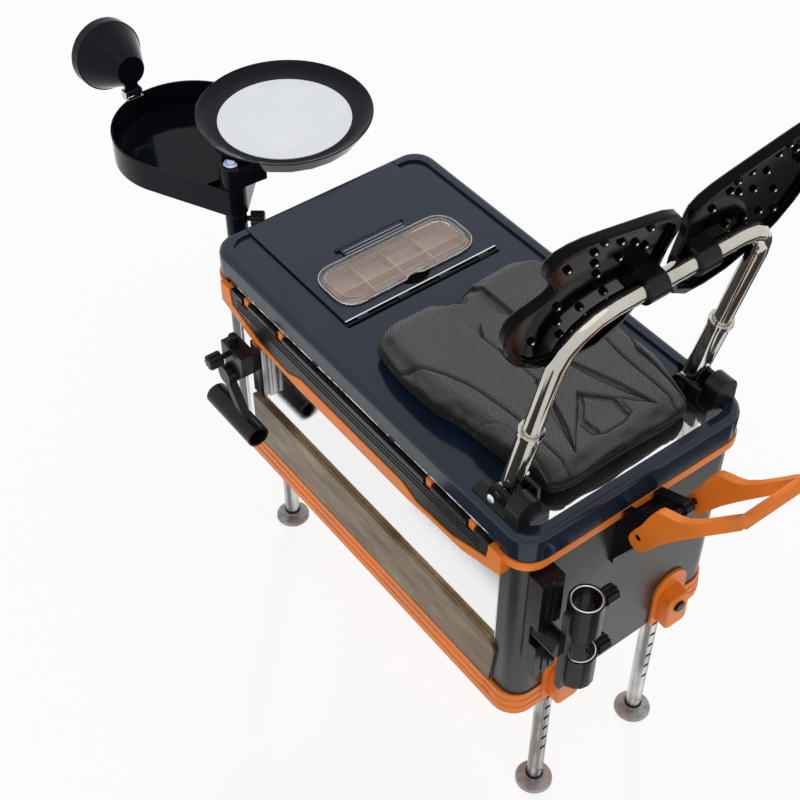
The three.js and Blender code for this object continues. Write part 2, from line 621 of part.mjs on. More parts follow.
const windowLow = top + fit.seat;
const windowAxisY = windowLid.front + windowTab.reach;
const windowAxisZ = windowLow + windowTab.barrel;

function windowCover() {
  const outer = roundedRect(windowLid.half, windowHalfY, windowLid.corner, 0, windowMidY);
  const raised = roundedRect(windowLid.half - windowLid.domeInset, windowHalfY - windowLid.domeInset,
    windowLid.corner - windowLid.domeInset, 0, windowMidY);
  const hollow = roundedRect(windowLid.half - windowLid.domeInset - windowLid.thick,
    windowHalfY - windowLid.domeInset - windowLid.thick,
    windowLid.corner - windowLid.domeInset - windowLid.thick, 0, windowMidY);
  let cover = join(upright(outer, windowLow, windowLow + windowLid.thick),
    upright(raised, windowLow, windowLow + windowLid.thick + windowLid.dome, 3));
  cover = cut(cover, upright(hollow, windowLow - overrun, windowLow + windowLid.dome, 3));
  cover = join(cover,
    block(-windowTab.half, windowTab.half, windowLid.front - windowLid.ledge, windowAxisY,
      windowLow, windowLow + windowTab.thick),
    rod(-windowTab.half, windowAxisY, windowAxisZ, axisX, windowTab.barrel, 2 * windowTab.half, 10),
    rod(-windowTab.half - windowTab.ear, windowAxisY, windowAxisZ, axisX, windowTab.barrel / 2,
      2 * (windowTab.half + windowTab.ear), 10));
  const scoop = rod(0, windowLid.rear - windowTab.scoop + windowTab.scoopDeep, windowLow - overrun, axisZ,
    windowTab.scoop, windowLid.thick + 2 * overrun, 20);
  return cut(cover, scoop);
}

function tackleTray() {
  const hx = windowLid.half + fit.panel;
  const hy = windowHalfY + fit.panel;
  const high = top - hatch.thick;
  const low = high - tackle.depth;
  const outer = roundedRect(hx, hy, windowLid.corner, 0, windowMidY);
  const innerX = hx - windowLid.ledge;
  const innerY = hy - windowLid.ledge;
  const bowl = roundedRect(innerX, innerY, windowLid.corner - windowLid.ledge, 0, windowMidY);
  const skin = roundedRect(innerX + tackle.wall, innerY + tackle.wall, windowLid.corner - tackle.wall, 0, windowMidY);
  let tray = join(upright(outer, high - tackle.wall, high, 3), upright(skin, low, high, 3));
  tray = cut(tray, upright(bowl, low + tackle.wall, high + overrun, 3));
  const ribTop = low + tackle.wall + tackle.ribHigh;
  tray = join(tray, block(-innerX - tackle.rib, innerX + tackle.rib, windowMidY - tackle.rib / 2,
    windowMidY + tackle.rib / 2, low, ribTop));
  for (let i = 1; i <= tackle.cross; i += 1) {
    const x = -innerX + (2 * innerX * i) / (tackle.cross + 1);
    tray = join(tray, block(x - tackle.rib / 2, x + tackle.rib / 2, windowMidY - innerY - tackle.rib,
      windowMidY + innerY + tackle.rib, low, ribTop));
  }
  return tray;
}

// The seat cushion: a crowned pad with drawn-in sides, side bolsters, thigh lobes and sewn channels
const channelShare = [
  { from: [-0.62, -0.86], to: [-0.7, 0.5], width: 0.07, depth: 0.2 },
  { from: [0.62, -0.86], to: [0.7, 0.5], width: 0.07, depth: 0.2 },
  { from: [-0.7, 0.5], to: [-0.16, 0.98], width: 0.07, depth: 0.2 },
  { from: [0.7, 0.5], to: [0.16, 0.98], width: 0.07, depth: 0.2 },
  { from: [-0.34, -0.7], to: [0, -0.2], width: 0.06, depth: 0.16 },
  { from: [0.34, -0.7], to: [0, -0.2], width: 0.06, depth: 0.16 },
  { from: [0, 0.1], to: [0, 0.98], width: 0.08, depth: 0.22 },
];

function nearChannel(a, b, { from, to, width }) {
  const [dx, dy] = [to[0] - from[0], to[1] - from[1]];
  const along = Math.min(1, Math.max(0, ((a - from[0]) * dx + (b - from[1]) * dy) / (dx * dx + dy * dy)));
  const gap = Math.hypot(a - from[0] - along * dx, b - from[1] - along * dy);
  return Math.max(0, 1 - (gap / width) ** 2);
}

function cushionPoint(a, b, out) {
  const length = cushion.front + cushion.rear;
  const widthAt = THREE.MathUtils.lerp(cushion.rearWidth, cushion.width, Math.min(1, (b + 1) / 1.2)) / 2;
  const cornerShare = 0.085;
  const x = a * (widthAt * (1 - cornerShare * b ** 6) + out);
  const frontDip = b > 0 ? cushion.lobe * Math.max(0, 1 - (a / 0.16) ** 2) * b ** 4 : 0;
  const y = b * ((length / 2) * (1 - cornerShare * a ** 6) + out) + (cushion.front - cushion.rear) / 2 - frontDip;
  return [x, y];
}

function cushionHeight(a, b) {
  const fall = (1 - 0.3 * Math.abs(a) ** 8) * (1 - 0.3 * Math.abs(b) ** 8);
  const sideRise = cushion.bolster * THREE.MathUtils.smoothstep(Math.abs(a), 0.55, 0.8) * (b < 0.5 ? 1 : 0.6);
  const thigh = cushion.lobe * THREE.MathUtils.smoothstep(b, 0.2, 0.8);
  const groove = Math.max(...channelShare.map((c) => c.depth * nearChannel(a, b, c)));
  return (cushion.height - cushion.bolster) * (fall - groove) + (sideRise + thigh / 2) * fall;
}

function seatCushion() {
  const { across, along } = cushionGrid;
  const z0 = deckZ + fit.seat;
  const points = [];
  const faces = [];
  const add = (x, y, z) => points.push(x, y, z) / 3 - 1;
  const grid = [];
  for (let j = 0; j <= along; j += 1) {
    grid.push([]);
    for (let i = 0; i <= across; i += 1) {
      const a = (2 * i) / across - 1;
      const b = (2 * j) / along - 1;
      const [x, y] = cushionPoint(a, b, 0);
      grid[j].push(add(x, y, z0 + cushionHeight(a, b)));
    }
  }
  for (let j = 0; j < along; j += 1) {
    for (let i = 0; i < across; i += 1) {
      const [p, q, r, s] = [grid[j][i], grid[j][i + 1], grid[j + 1][i + 1], grid[j + 1][i]];
      faces.push(p, q, r, p, r, s);
    }
  }
  const rimAt = [];
  for (let i = 0; i < across; i += 1) rimAt.push([i, 0]);
  for (let j = 0; j < along; j += 1) rimAt.push([across, j]);
  for (let i = across; i > 0; i -= 1) rimAt.push([i, along]);
  for (let j = along; j > 0; j -= 1) rimAt.push([0, j]);
  let upper = rimAt.map(([i, j]) => grid[j][i]);
  const sideShare = [[0.55, 0.35], [0.2, 0], [0, -0.75]];
  for (const [high, out] of sideShare) {
    const lower = rimAt.map(([i, j]) => {
      const a = (2 * i) / across - 1;
      const b = (2 * j) / along - 1;
      const [x, y] = cushionPoint(a, b, out * cushion.shell);
      return add(x, y, z0 + high * cushionHeight(a, b));
    });
    lower.forEach((p, k) => {
      const n = (k + 1) % lower.length;
      faces.push(upper[k], p, lower[n], upper[k], lower[n], upper[n]);
    });
    upper = lower;
  }
  const middle = add(0, (cushion.front - cushion.rear) / 2, z0);
  upper.forEach((p, k) => faces.push(p, middle, upper[(k + 1) % upper.length]));
  const g = new THREE.BufferGeometry();
  g.setAttribute("position", new THREE.BufferAttribute(new Float32Array(points), 3));
  g.setIndex(faces);
  return solid(g);
}

// The backrest: brackets on the lid, two sleeves, one bent tube and two pads
const hingeZ = deckZ + hinge.rise;

function backrestBracket(side) {
  const low = deckZ + fit.seat;
  const overBead = top + fit.seat;
  const gapHalf = sleeve.radius + fit.running;
  const inner = sleeve.x - gapHalf - bracket.cheek;
  const outer = sleeve.x + gapHalf + bracket.cheek;
  const arch = new THREE.Shape();
  const span = (bracket.half - bracket.blockInner) / 2;
  const mid = (bracket.half + bracket.blockInner) / 2;
  const shoulder = top + bracket.height - span;
  arch.moveTo(bracket.blockInner, overBead);
  arch.lineTo(bracket.half, overBead);
  arch.lineTo(bracket.half, shoulder);
  arch.absarc(mid, shoulder, span, 0, Math.PI);
  const rear = -bracket.rear;
  const blockFront = rear + bracket.blockLength;
  const cheekFront = hinge.y + sleeve.radius + bracket.cheek;
  const inBead = halfX - lid.edge - lid.bead - fit.seat;
  let form = join(acrossY(arch, rear, blockFront, 5),
    block(inner, inBead, rear, blockFront, low, overBead + bracket.stripHigh));
  const cheek = new THREE.Shape();
  cheek.moveTo(blockFront - bracket.cheek, low);
  cheek.lineTo(cheekFront, low);
  cheek.lineTo(hinge.y + sleeve.radius, hingeZ);
  cheek.absarc(hinge.y, hingeZ, sleeve.radius, 0, Math.PI / 2);
  cheek.lineTo(blockFront - bracket.cheek, hingeZ + sleeve.radius);
  const strip = polygon([[outer - bracket.cheek, low], [inBead, low], [inBead, overBead], [bracket.half, overBead],
    [bracket.half, overBead + bracket.stripHigh / 2], [outer - bracket.cheek, overBead + bracket.stripHigh]]);
  form = join(form, acrossX(cheek, inner, inner + bracket.cheek), acrossX(cheek, outer - bracket.cheek, outer),
    acrossY(strip, blockFront - bracket.cheek, -bracket.stripReach, 4),
    rod(inner - hinge.headThick, hinge.y, hingeZ, axisX, hinge.head, hinge.headThick + bracket.cheek / 2, 10));
  form = cut(form, rod(inner - hinge.headThick - overrun, hinge.y, hingeZ, axisX, hinge.pin + fit.pivot,
    outer - inner + hinge.headThick + 2 * overrun, 10));
  const basinX = halfX - lid.edge - lid.bead - fit.seat;
  const basinY = halfY - lid.edge - lid.bead - fit.seat;
  const room = join(upright(roundedRect(basinX, basinY, box.corner - lid.edge), low - overrun, overBead),
    block(-halfX, halfX, -halfY, halfY, overBead, top + box.height));
  form = form.intersect(room);
  return side > 0 ? form : mirrored(form);
}

const lean = degrees(sleeve.lean);
const leanAxis = new THREE.Vector3(0, -Math.sin(lean), Math.cos(lean));

// A point of the backrest's own plane: x across, s up along the uprights, n forward of the plane
function onBackrest(x, s, n = 0) {
  return new THREE.Vector3(
    x,
    hinge.y - s * Math.sin(lean) + n * Math.cos(lean),
    hingeZ + s * Math.cos(lean) + n * Math.sin(lean),
  );
}

function backrestSleeve(side) {
  const low = onBackrest(side * sleeve.x, 0);
  const collarAt = onBackrest(side * sleeve.x, sleeve.length - sleeve.collarHigh);
  const boreAt = onBackrest(side * sleeve.x, sleeve.radius);
  const pinHalf = sleeve.radius + fit.running + bracket.cheek;
  const barrel = rod(side * sleeve.x - sleeve.radius, hinge.y, hingeZ, axisX, sleeve.radius, 2 * sleeve.radius, 12);
  const pin = rod(side * sleeve.x - pinHalf, hinge.y, hingeZ, axisX, hinge.pin, 2 * pinHalf, 12);
  const outside = join(rod(low.x, low.y, low.z, leanAxis, sleeve.radius, sleeve.length, 12), barrel,
    rod(collarAt.x, collarAt.y, collarAt.z, leanAxis, sleeve.collar, sleeve.collarHigh, 12));
  const bore = rod(boreAt.x, boreAt.y, boreAt.z, leanAxis, frame.radius + fit.running, sleeve.length, 12);
  return join(cut(outside, bore), pin);
}

function backrestTube() {
  const corner = frame.length - frame.bend;
  const inner = sleeve.x - frame.bend;
  const p = (x, s) => onBackrest(x, s);
  const arc = (side) => {
    const points = [];
    const arcSteps = 4;
    for (let i = 0; i <= arcSteps; i += 1) {
      const a = (i / arcSteps) * (Math.PI / 2);
      points.push([side * (inner + frame.bend * Math.cos(a)), corner + frame.bend * Math.sin(a)]);
    }
    return points;
  };
  const left = arc(-1);
  const right = arc(1).reverse();
  const route = [[-sleeve.x, frame.start], ...left, ...right, [sleeve.x, frame.start]];
  const inside = [[-sleeve.x, frame.start - overrun], ...left, ...right, [sleeve.x, frame.start - overrun]];
  const facing = onBackrest(0, 0, 1).sub(onBackrest(0, 0, 0)).normalize();
  return cut(tubeThrough(route.map(([x, s]) => p(x, s)), frame.radius, 12, facing),
    tubeThrough(inside.map(([x, s]) => p(x, s)), frame.radius - frame.wall, 6, facing));
}

// A round bar through the corners of a plane route, mitred at each
function tubeThrough(route, radius, sides, normal) {
  const points = [];
  const faces = [];
  route.forEach((at, k) => {
    const before = route[Math.max(0, k - 1)];
    const after = route[Math.min(route.length - 1, k + 1)];
    const into = at.clone().sub(before).normalize();
    const out = after.clone().sub(at).normalize();
    const along = k === 0 ? out : k === route.length - 1 ? into : into.clone().add(out).normalize();
    const stretch = 1 / (k === 0 || k === route.length - 1 ? 1 : along.dot(into));
    const across = normal.clone().cross(along).normalize();
    for (let i = 0; i < sides; i += 1) {
      const a = (i / sides) * Math.PI * 2;
      const q = at.clone().addScaledVector(normal, radius * Math.sin(a))
        .addScaledVector(across, radius * Math.cos(a) * stretch);
      points.push(q.x, q.y, q.z);
    }
  });
  for (let k = 0; k < route.length - 1; k += 1) {
    for (let i = 0; i < sides; i += 1) {
      const [a, b] = [k * sides + i, k * sides + ((i + 1) % sides)];
      faces.push(a, a + sides, b + sides, a, b + sides, b);
    }
  }
  const last = (route.length - 1) * sides;
  for (let i = 1; i < sides - 1; i += 1) {
    faces.push(0, i, i + 1);
    faces.push(last, last + i + 1, last + i);
  }
  const g = new THREE.BufferGeometry();
  g.setAttribute("position", new THREE.BufferAttribute(new Float32Array(points), 3));
  g.setIndex(faces);
  const made = solid(g);
  if (made.volume() > 0) return made;
  const turnedOver = [];
  for (let i = 0; i < faces.length; i += 3) turnedOver.push(faces[i], faces[i + 2], faces[i + 1]);
  g.setIndex(turnedOver);
  return solid(g);
}

function backrestMatrix(x, s, n) {
  const at = onBackrest(x, s, n);
  const forward = onBackrest(0, 0, 1).sub(onBackrest(0, 0, 0));
  return new THREE.Matrix4().makeBasis(new THREE.Vector3(1, 0, 0), leanAxis, forward.negate()).setPosition(at);
}

function clampBlock(side) {
  const half = padClamp.width / 2;
  const padBack = pad.offset + pad.rim / 2 + pad.rimHigh - fit.seat;
  const outline = new THREE.Shape();
  outline.absarc(0, 0, padClamp.radius, Math.PI / 2, Math.PI * 1.5);
  outline.lineTo(padBack, -padClamp.radius);
  outline.lineTo(padBack, padClamp.radius);
  const bore = new THREE.Path();
  bore.absarc(0, 0, frame.radius + fit.pivot, 0, Math.PI * 2, true);
  outline.holes.push(bore);
  const g = new THREE.ExtrudeGeometry(outline, { depth: padClamp.width, bevelEnabled: false, curveSegments: 8 });
  const forward = onBackrest(0, 0, 1).sub(onBackrest(0, 0, 0));
  const place = new THREE.Matrix4().makeBasis(forward, leanAxis, axisX);
  g.applyMatrix4(place.setPosition(onBackrest(side * padClamp.x - half, frame.length, 0)));
  return solid(g);
}

function padForm(side) {
  const outline = (inset, count) => smoothOutline(padShare.map(([u, v]) =>
    [-side * u * (pad.width - 2 * inset), v * (pad.height - 2 * inset)]), count);
  const plate = new THREE.ExtrudeGeometry(outline(0, 34), {
    depth: pad.thick - pad.rim, bevelEnabled: true, bevelThickness: pad.rim / 2, bevelSize: pad.rim / 2,
    bevelOffset: -pad.rim / 2, bevelSegments: 1, steps: 1,
  });
  const hollow = new THREE.ExtrudeGeometry(outline(2 * pad.rim, 24), {
    depth: pad.rimHigh + overrun, bevelEnabled: false,
  });
  hollow.translate(0, 0, pad.thick - pad.rim / 2 - pad.rimHigh);
  return cut(solid(plate), solid(hollow));
}

// The outer half of a pad curls forward, so each strip is bent by itself before they're joined
function curled(form, side) {
  const g = geometryOf(form);
  const p = g.getAttribute("position");
  for (let i = 0; i < p.count; i += 1) {
    const outward = Math.max(0, side * p.getX(i)) / (pad.width / 2);
    p.setZ(i, p.getZ(i) - pad.thick - pad.curl * outward ** 2);
  }
  return solid(g);
}

function backPad(side) {
  const whole = padForm(side);
  const reach = side * (pad.width / 2 + overrun);
  const strips = [];
  for (let k = 1; k < padStripShare.length; k += 1) {
    const x0 = padStripShare[k - 1] * reach;
    const x1 = padStripShare[k] * reach;
    strips.push(curled(whole.intersect(block(Math.min(x0, x1), Math.max(x0, x1), -pad.height, pad.height,
      -pad.height, pad.height)), side));
  }
  return moved(join(...strips), backrestMatrix(side * pad.centre, frame.length, pad.offset));
}

// The carrying handle on its bracket
function carryHandle() {
  const outline = smoothOutline(handleShare.map(([u, v]) => [u * handle.reach, v * handle.reach]), 26);
  const tilt = degrees(handle.tilt);
  const along = new THREE.Vector3(0, -Math.cos(tilt), Math.sin(tilt));
  const up = new THREE.Vector3(0, Math.sin(tilt), Math.cos(tilt));
  const arm = (x0) => {
    const g = new THREE.ExtrudeGeometry(outline, { depth: handle.arm, bevelEnabled: false });
    const basis = new THREE.Matrix4().makeBasis(along, up, new THREE.Vector3(-1, 0, 0));
    g.applyMatrix4(basis.setPosition(x0 + handle.arm, handleMount.y, handleMount.z));
    return solid(g);
  };
  const barAt = new THREE.Vector3(0, handleMount.y, handleMount.z).addScaledVector(along, handle.reach);
  const inside = handle.arm / 2;
  const form = join(arm(-handle.half), arm(handle.half - handle.arm),
    rod(-handle.half + inside, barAt.y, barAt.z, axisX, handle.bar / 2, 2 * (handle.half - inside), 14));
  return cut(form, rod(-handle.half - overrun, handleMount.y, handleMount.z, axisX, handle.pivot + fit.pivot,
    2 * (handle.half + overrun), 12));
}

function handleBracket() {
  const wallY = -tubY - fit.seat;
  const { y, z, nose, high, half } = handleMount;
  const trimY = -halfY - trim.proud - fit.panel;
  const outline = new THREE.Shape();
  outline.moveTo(wallY, trimLow - fit.panel - high);
  outline.lineTo(wallY, trimLow - fit.panel);
  outline.lineTo(trimY, trimLow - fit.panel);
  outline.lineTo(trimY, z - nose);
  outline.lineTo(y, z + nose);
  outline.absarc(y, z, nose, Math.PI / 2, Math.PI * 1.2);
  const ears = join(acrossX(outline, -half, -half + handle.arm), acrossX(outline, half - handle.arm, half));
  const foot = block(-half, half, -halfY, wallY, trimLow - fit.panel - high, trimLow - fit.panel);
  const lip = block(-half, half, trimY - nose, trimY, trimLow - fit.panel - high / 2, trimLow - fit.panel);
  return join(ears, foot, lip, rod(-handle.half, y, z, axisX, handle.pivot, 2 * handle.half, 12));
}

// The umbrella clamp on the rear face
const rearWallY = -tubY - fit.seat;
const umbrellaFaceY = rearWallY - umbrellaBlock.depth;
const umbrellaEarY = umbrellaFaceY - umbrellaPivot.stand;
const backward = axisY.clone().negate();

function umbrellaBracket() {
  const { x, width, plate, groove, high, low, top: upper, lowTop } = umbrellaBlock;
  const left = x - width / 2;
  const plateY = rearWallY - plate;
  let form = block(left, left + width, plateY, rearWallY, lowTop - low, upper);
  for (const [z1, tall] of [[upper, high], [lowTop, low]]) {
    let clamp = block(left, left + width, umbrellaFaceY, plateY, z1 - tall, z1);
    for (const share of umbrellaGrooveShare) {
      const at = left + share * width;
      clamp = cut(clamp, block(at, at + groove, umbrellaFaceY - overrun, umbrellaFaceY + groove,
        z1 - tall - overrun, z1 + overrun));
    }
    form = join(form, clamp);
  }
  return join(form, rod(umbrellaPivot.x, plateY, umbrellaPivot.z, backward, umbrella.disc, plateY - umbrellaEarY, 20));
}

function umbrellaArm() {
  const { x, y, radius, wall, web, disc: discRadius } = umbrella;
  const spans = [[umbrella.top - umbrella.high, umbrella.high], [umbrella.lowTop - umbrella.low, umbrella.low]];
  let form = join(
    block(x - radius - web, x - radius + wall / 2, y - web / 2, y + web / 2, umbrella.lowTop - umbrella.low, umbrella.top - wall),
    rod(umbrellaPivot.x, umbrellaEarY - fit.seat, umbrellaPivot.z, backward, discRadius, umbrellaPivot.thick, 20));
  for (const [z, high] of spans) {
    form = join(form, rod(x, y, z, axisZ, radius, high, 14));
  }
  for (const [z, high] of spans) {
    form = cut(form, rod(x, y, z - overrun, axisZ, radius - wall, high + 2 * overrun, 12),
      rod(x, y, z + high * knobHeightShare, axisX, knob.neck + fit.running, 2 * radius, 10));
  }
  return form;
}

function flutedKnob(x, y, z, axis) {
  const start = new THREE.Vector3(x, y, z);
  const head = start.clone().addScaledVector(axis, knob.neckLength);
  return join(rod(x, y, z, axis, knob.neck, knob.neckLength + knob.neck, 8),
    prismAlong(fluted(knob.radius, knob.flute, knob.flutes), head.x, head.y, head.z, axis, knob.length, knob.flute));
}

function umbrellaKnob(z, high) {
  const start = umbrella.x + umbrella.radius - umbrella.wall + fit.running;
  return flutedKnob(start, umbrella.y, z + high * knobHeightShare, axisX);
}

// The rod rest on the left side
function rodRestRail() {
  const x1 = -panelX - fit.seat;
  const x0 = x1 - rodRail.thick;
  const y0 = rodRail.y - rodRail.width / 2;
  let rail = block(x0, x1, y0, y0 + rodRail.width, rodRail.low, rodRail.high);
  for (const side of [0, 1]) {
    const y = side ? y0 + rodRail.width : y0;
    rail = cut(rail, block(x0 + rodRail.lip, x1 - rodRail.lip, Math.min(y, y + (side ? -1 : 1) * rodRail.lip),
      Math.max(y, y + (side ? -1 : 1) * rodRail.lip), rodRail.low - overrun, rodRail.high + overrun));
  }
  return rail;
}

const rodHeadX = -panelX - fit.seat - rodRail.thick - fit.seat;

function rodRestHead() {
  const x1 = rodHeadX;
  const x0 = x1 - rodHead.depth;
  const y0 = rodHead.y - rodHead.width / 2;
  const z1 = rodHead.low + rodHead.high;
  const discX = rodTube.x + rodTube.arm / 2 + fit.seat;
  const screw = prismAlong(fluted(knob.radius * smallKnobShare, knob.flute / 2, knob.flutes), (x0 + x1) / 2,
    rodHead.screwY, z1 + rodHead.plateThick, axisZ, knob.length * smallKnobShare, knob.flute / 2);
  return join(block(x0, x1, y0, y0 + rodHead.width, rodHead.low, z1 + rodHead.plateThick),
    rod(discX, rodTube.pivotY, rodTube.pivotZ, axisX, rodHead.disc, x1 - discX, 16),
    block(discX, x1, rodTube.pivotY - rodHead.disc, rodTube.pivotY + rodHead.disc, rodTube.pivotZ, z1), screw);
}

function rodTubePiece() {
  const { x, y, z, radius, wall, length, arm, armWidth, armY, pivotY, pivotZ } = rodTube;
  const outer = rod(x, y + length / 2, z, backward, radius, length, 18);
  const bore = rod(x, y + length / 2 + overrun, z, backward, radius - wall, length + 2 * overrun, 14);
  const x0 = x - arm / 2;
  const bar = polygon([[armY - armWidth / 2, z], [armY + armWidth / 2, z], [pivotY + armWidth / 2, pivotZ],
    [pivotY - armWidth / 2, pivotZ]]);
  const ear = join(acrossX(bar, x0, x0 + arm), rod(x0, pivotY, pivotZ, axisX, rodHead.disc - fit.running, arm, 16));
  return cut(join(outer, ear), bore);
}

function rodRestKnob() {
  return flutedKnob(rodHeadX - rodHead.depth - fit.seat, rodHead.y + rodHead.width / 2 - knob.radius,
    rodHead.low + rodHead.high / 2, axisX.clone().negate());
}

// The bait station on its post
const flangeTop = dish.low - fit.seat;
const sleeveTop = flangeTop - post.flangeHigh - fit.seat;
const knobAxis = new THREE.Vector3(0.8, -0.6, 0);

function trayBracket() {
  const wallY = tubY + fit.seat;
  const { x, y } = post;
  const form = join(
    block(x - postSleeve.foot / 2, x + postSleeve.foot / 2, wallY, wallY + postSleeve.footThick,
      postSleeve.low, postSleeve.low + postSleeve.footHigh),
    block(x - postSleeve.armThick / 2, x + postSleeve.armThick / 2, wallY, y, postSleeve.low, postSleeve.low + postSleeve.arm),
    rod(x, y, postSleeve.low, axisZ, postSleeve.radius, sleeveTop - postSleeve.low, 16));
  return cut(form, rod(x, y, postSleeve.low - overrun, axisZ, post.radius + fit.running, sleeveTop, 16),
    rod(x, y, sleeveTop - knob.radius, knobAxis, knob.neck + fit.running, 2 * postSleeve.radius, 10));
}


function trayKnob() {
  const at = new THREE.Vector3(post.x, post.y, sleeveTop - knob.radius)
    .addScaledVector(knobAxis, post.radius + fit.running);
  return flutedKnob(at.x, at.y, at.z, knobAxis);
}

function trayPost() {
  const tube = cut(rod(post.x, post.y, post.low, axisZ, post.radius, dish.high - post.low, 16),
    rod(post.x, post.y, post.low - overrun, axisZ, post.radius - post.wall, flangeTop - post.low, 10));
  return join(tube, rod(post.x, post.y, flangeTop - post.flangeHigh, axisZ, post.flange, post.flangeHigh, 16));
}

// A tear drop: a big circle and a small one, joined by their common tangents
function tearDrop(cx, cy, big, px, py, small) {
  const dx = px - cx;
  const dy = py - cy;
  const facing = Math.atan2(dy, dx);
  const open = Math.acos((big - small) / Math.hypot(dx, dy));
  const s = new THREE.Shape();
  s.absarc(cx, cy, big, facing + open, facing - open + Math.PI * 2, false);
  s.absarc(px, py, small, facing - open, facing + open, false);
  return s;
}

function lowerDish() {
  const shape = (inset) => tearDrop(dish.x, dish.y, dish.radius - inset, post.x, post.y, dish.boss + fit.seat - inset / 4);
  let form = upright(shape(0), dish.low, dish.high, 9);
  form = cut(form, upright(shape(dish.wall), dish.low + dish.wall, dish.high + overrun, 9));
  const inner = dish.radius - dish.step;
  const lipRing = turned([[inner - dish.lip, 0], [inner, 0], [inner, dish.stepHigh], [inner - dish.lip, dish.stepHigh],
    [inner - dish.lip, 0]], dish.x, dish.y, dish.low + dish.wall / 2, axisZ, 20);
  form = join(form, lipRing.intersect(upright(shape(dish.wall / 2), dish.low, dish.high, 9)));
  form = join(form, rod(post.x, post.y, dish.low, axisZ, dish.boss, dish.high - dish.low, 16));
  return cut(form, rod(post.x, post.y, dish.low - overrun, axisZ, post.radius + fit.running,
    dish.high - dish.low + 2 * overrun, 16));
}

function ringTray() {
  const { radius, floor, wall, depth, skirt, taper, top: z1 } = ring;
  const foot = radius - taper;
  const profile = [[0, -depth - wall], [foot - 2 * wall, -depth - wall], [foot - wall, -skirt], [foot, -skirt],
    [radius, -wall / 2], [radius - wall / 2, 0], [radius - wall, -wall / 2], [floor, -depth], [0, -depth]];
  const tray = turned(profile, ring.x, ring.y, z1, axisZ, 24);
  const low = dish.high + fit.running;
  const bossTop = ringBolt.bossTop - fit.seat;
  const toward = new THREE.Vector2(ring.x - post.x, ring.y - post.y).normalize();
  const side = new THREE.Vector2(-toward.y, toward.x);
  const at = (d, o) => [post.x + toward.x * d + side.x * o, post.y + toward.y * d + side.y * o];
  const reach = 2 * ring.boss;
  const armShape = polygon([at(0, -ring.boss), at(reach, -reach), at(reach, reach), at(0, ring.boss)]);
  const arm = join(upright(armShape, low, bossTop), rod(post.x, post.y, low, axisZ, ring.boss, bossTop - low, 16));
  const bowl = turned([[0, 0], [floor, 0], [radius - wall, depth], [0, depth]], ring.x, ring.y, z1 - depth, axisZ, 24);
  const scallop = rod(post.x, post.y, bossTop, axisZ, ringBolt.head + fit.running, ringBolt.headHigh + 2 * fit.swing, 16);
  return cut(join(tray, cut(arm, bowl)), scallop,
    rod(post.x, post.y, low - overrun, axisZ, ringBolt.radius + fit.running, ringBolt.bossTop - low + overrun, 12));
}

function trayBolt() {
  const low = dish.high + fit.seat;
  return turned([[0, 0], [ringBolt.radius, 0], [ringBolt.radius, ringBolt.bossTop - low], [ringBolt.head, ringBolt.bossTop - low],
    [ringBolt.head, ringBolt.bossTop - low + ringBolt.headHigh / 2],
    [ringBolt.head - ringBolt.headHigh / 2, ringBolt.bossTop - low + ringBolt.headHigh],
    [0, ringBolt.bossTop - low + ringBolt.headHigh]], post.x, post.y, low, axisZ, 16);
}

function ringDisc() {
  return rod(ring.x, ring.y, ring.top - ring.depth, axisZ, ring.disc, disc.thick, 26);
}

// The bait cup hinged on a clip at the dish's rim
const cupAxis = new THREE.Vector3(
  -Math.sin(degrees(cup.yaw)) * Math.cos(degrees(cup.tilt)),
  Math.cos(degrees(cup.yaw)) * Math.cos(degrees(cup.tilt)),
  Math.sin(degrees(cup.tilt)),
);
const rimOut = new THREE.Vector3(cup.x - dish.x, cup.y - dish.y, 0).normalize();
const clipAt = new THREE.Vector3(dish.x, dish.y, dish.high).addScaledVector(rimOut, dish.radius);
const cupPin = clipAt.clone().addScaledVector(rimOut, clip.ear).setZ(dish.high + clip.ear);

function baitCup() {
  const { radius, neck, length, band, wall } = cup;
  const profile = [[0, 0], [neck, 0], [radius, length], [radius + wall / 2, length], [radius + wall / 2, length + band],
    [radius - wall, length + band], [radius - wall, length], [neck - wall, wall], [0, wall]];
  const at = new THREE.Vector3(cup.x, cup.y, cup.z);
  const form = turned(profile, at.x, at.y, at.z, cupAxis, 16);
  const drop = at.clone().addScaledVector(cupAxis, clip.ear);
  const stem = block(-clip.plate / 2, clip.plate / 2, -clip.thick, clip.thick, cupPin.z, cup.z - neck / 2);
  const place = new THREE.Matrix4().makeTranslation(drop.x, drop.y, 0);
  const knuckle = rod(drop.x - clip.plate / 2, drop.y, cupPin.z, axisX, clip.pin + clip.thick, clip.plate, 16);
  const stemForm = join(moved(stem, place), knuckle);
  const inside = turned([[0, wall], [neck - wall, wall], [radius - wall, length], [0, length]], at.x, at.y, at.z, cupAxis, 16);
  return cut(join(form, cut(stemForm, inside)),
    rod(drop.x - clip.plate, drop.y, cupPin.z, axisX, clip.pin + fit.pivot, 2 * clip.plate, 12));
}

function cupClip() {
  const at = new THREE.Vector3(cup.x, cup.y, 0).addScaledVector(cupAxis, clip.ear);
  const x0 = at.x - clip.plate / 2 - fit.running - clip.thick;
  const x1 = at.x + clip.plate / 2 + fit.running + clip.thick;
  const ears = [];
  for (const [a, b] of [[x0, x0 + clip.thick], [x1 - clip.thick, x1]]) {
    ears.push(block(a, b, at.y - clip.ear, at.y + clip.pin + clip.thick, dish.high + fit.seat, cupPin.z + clip.pin + clip.thick));
  }
  const saddle = join(
    block(x0, x1, at.y - clip.ear - clip.thick, at.y - clip.ear + clip.thick, dish.high + fit.seat, dish.high + fit.seat + clip.thick),
    ...ears, rod(x0, at.y, cupPin.z, axisX, clip.pin, x1 - x0, 12));
  return saddle;
}

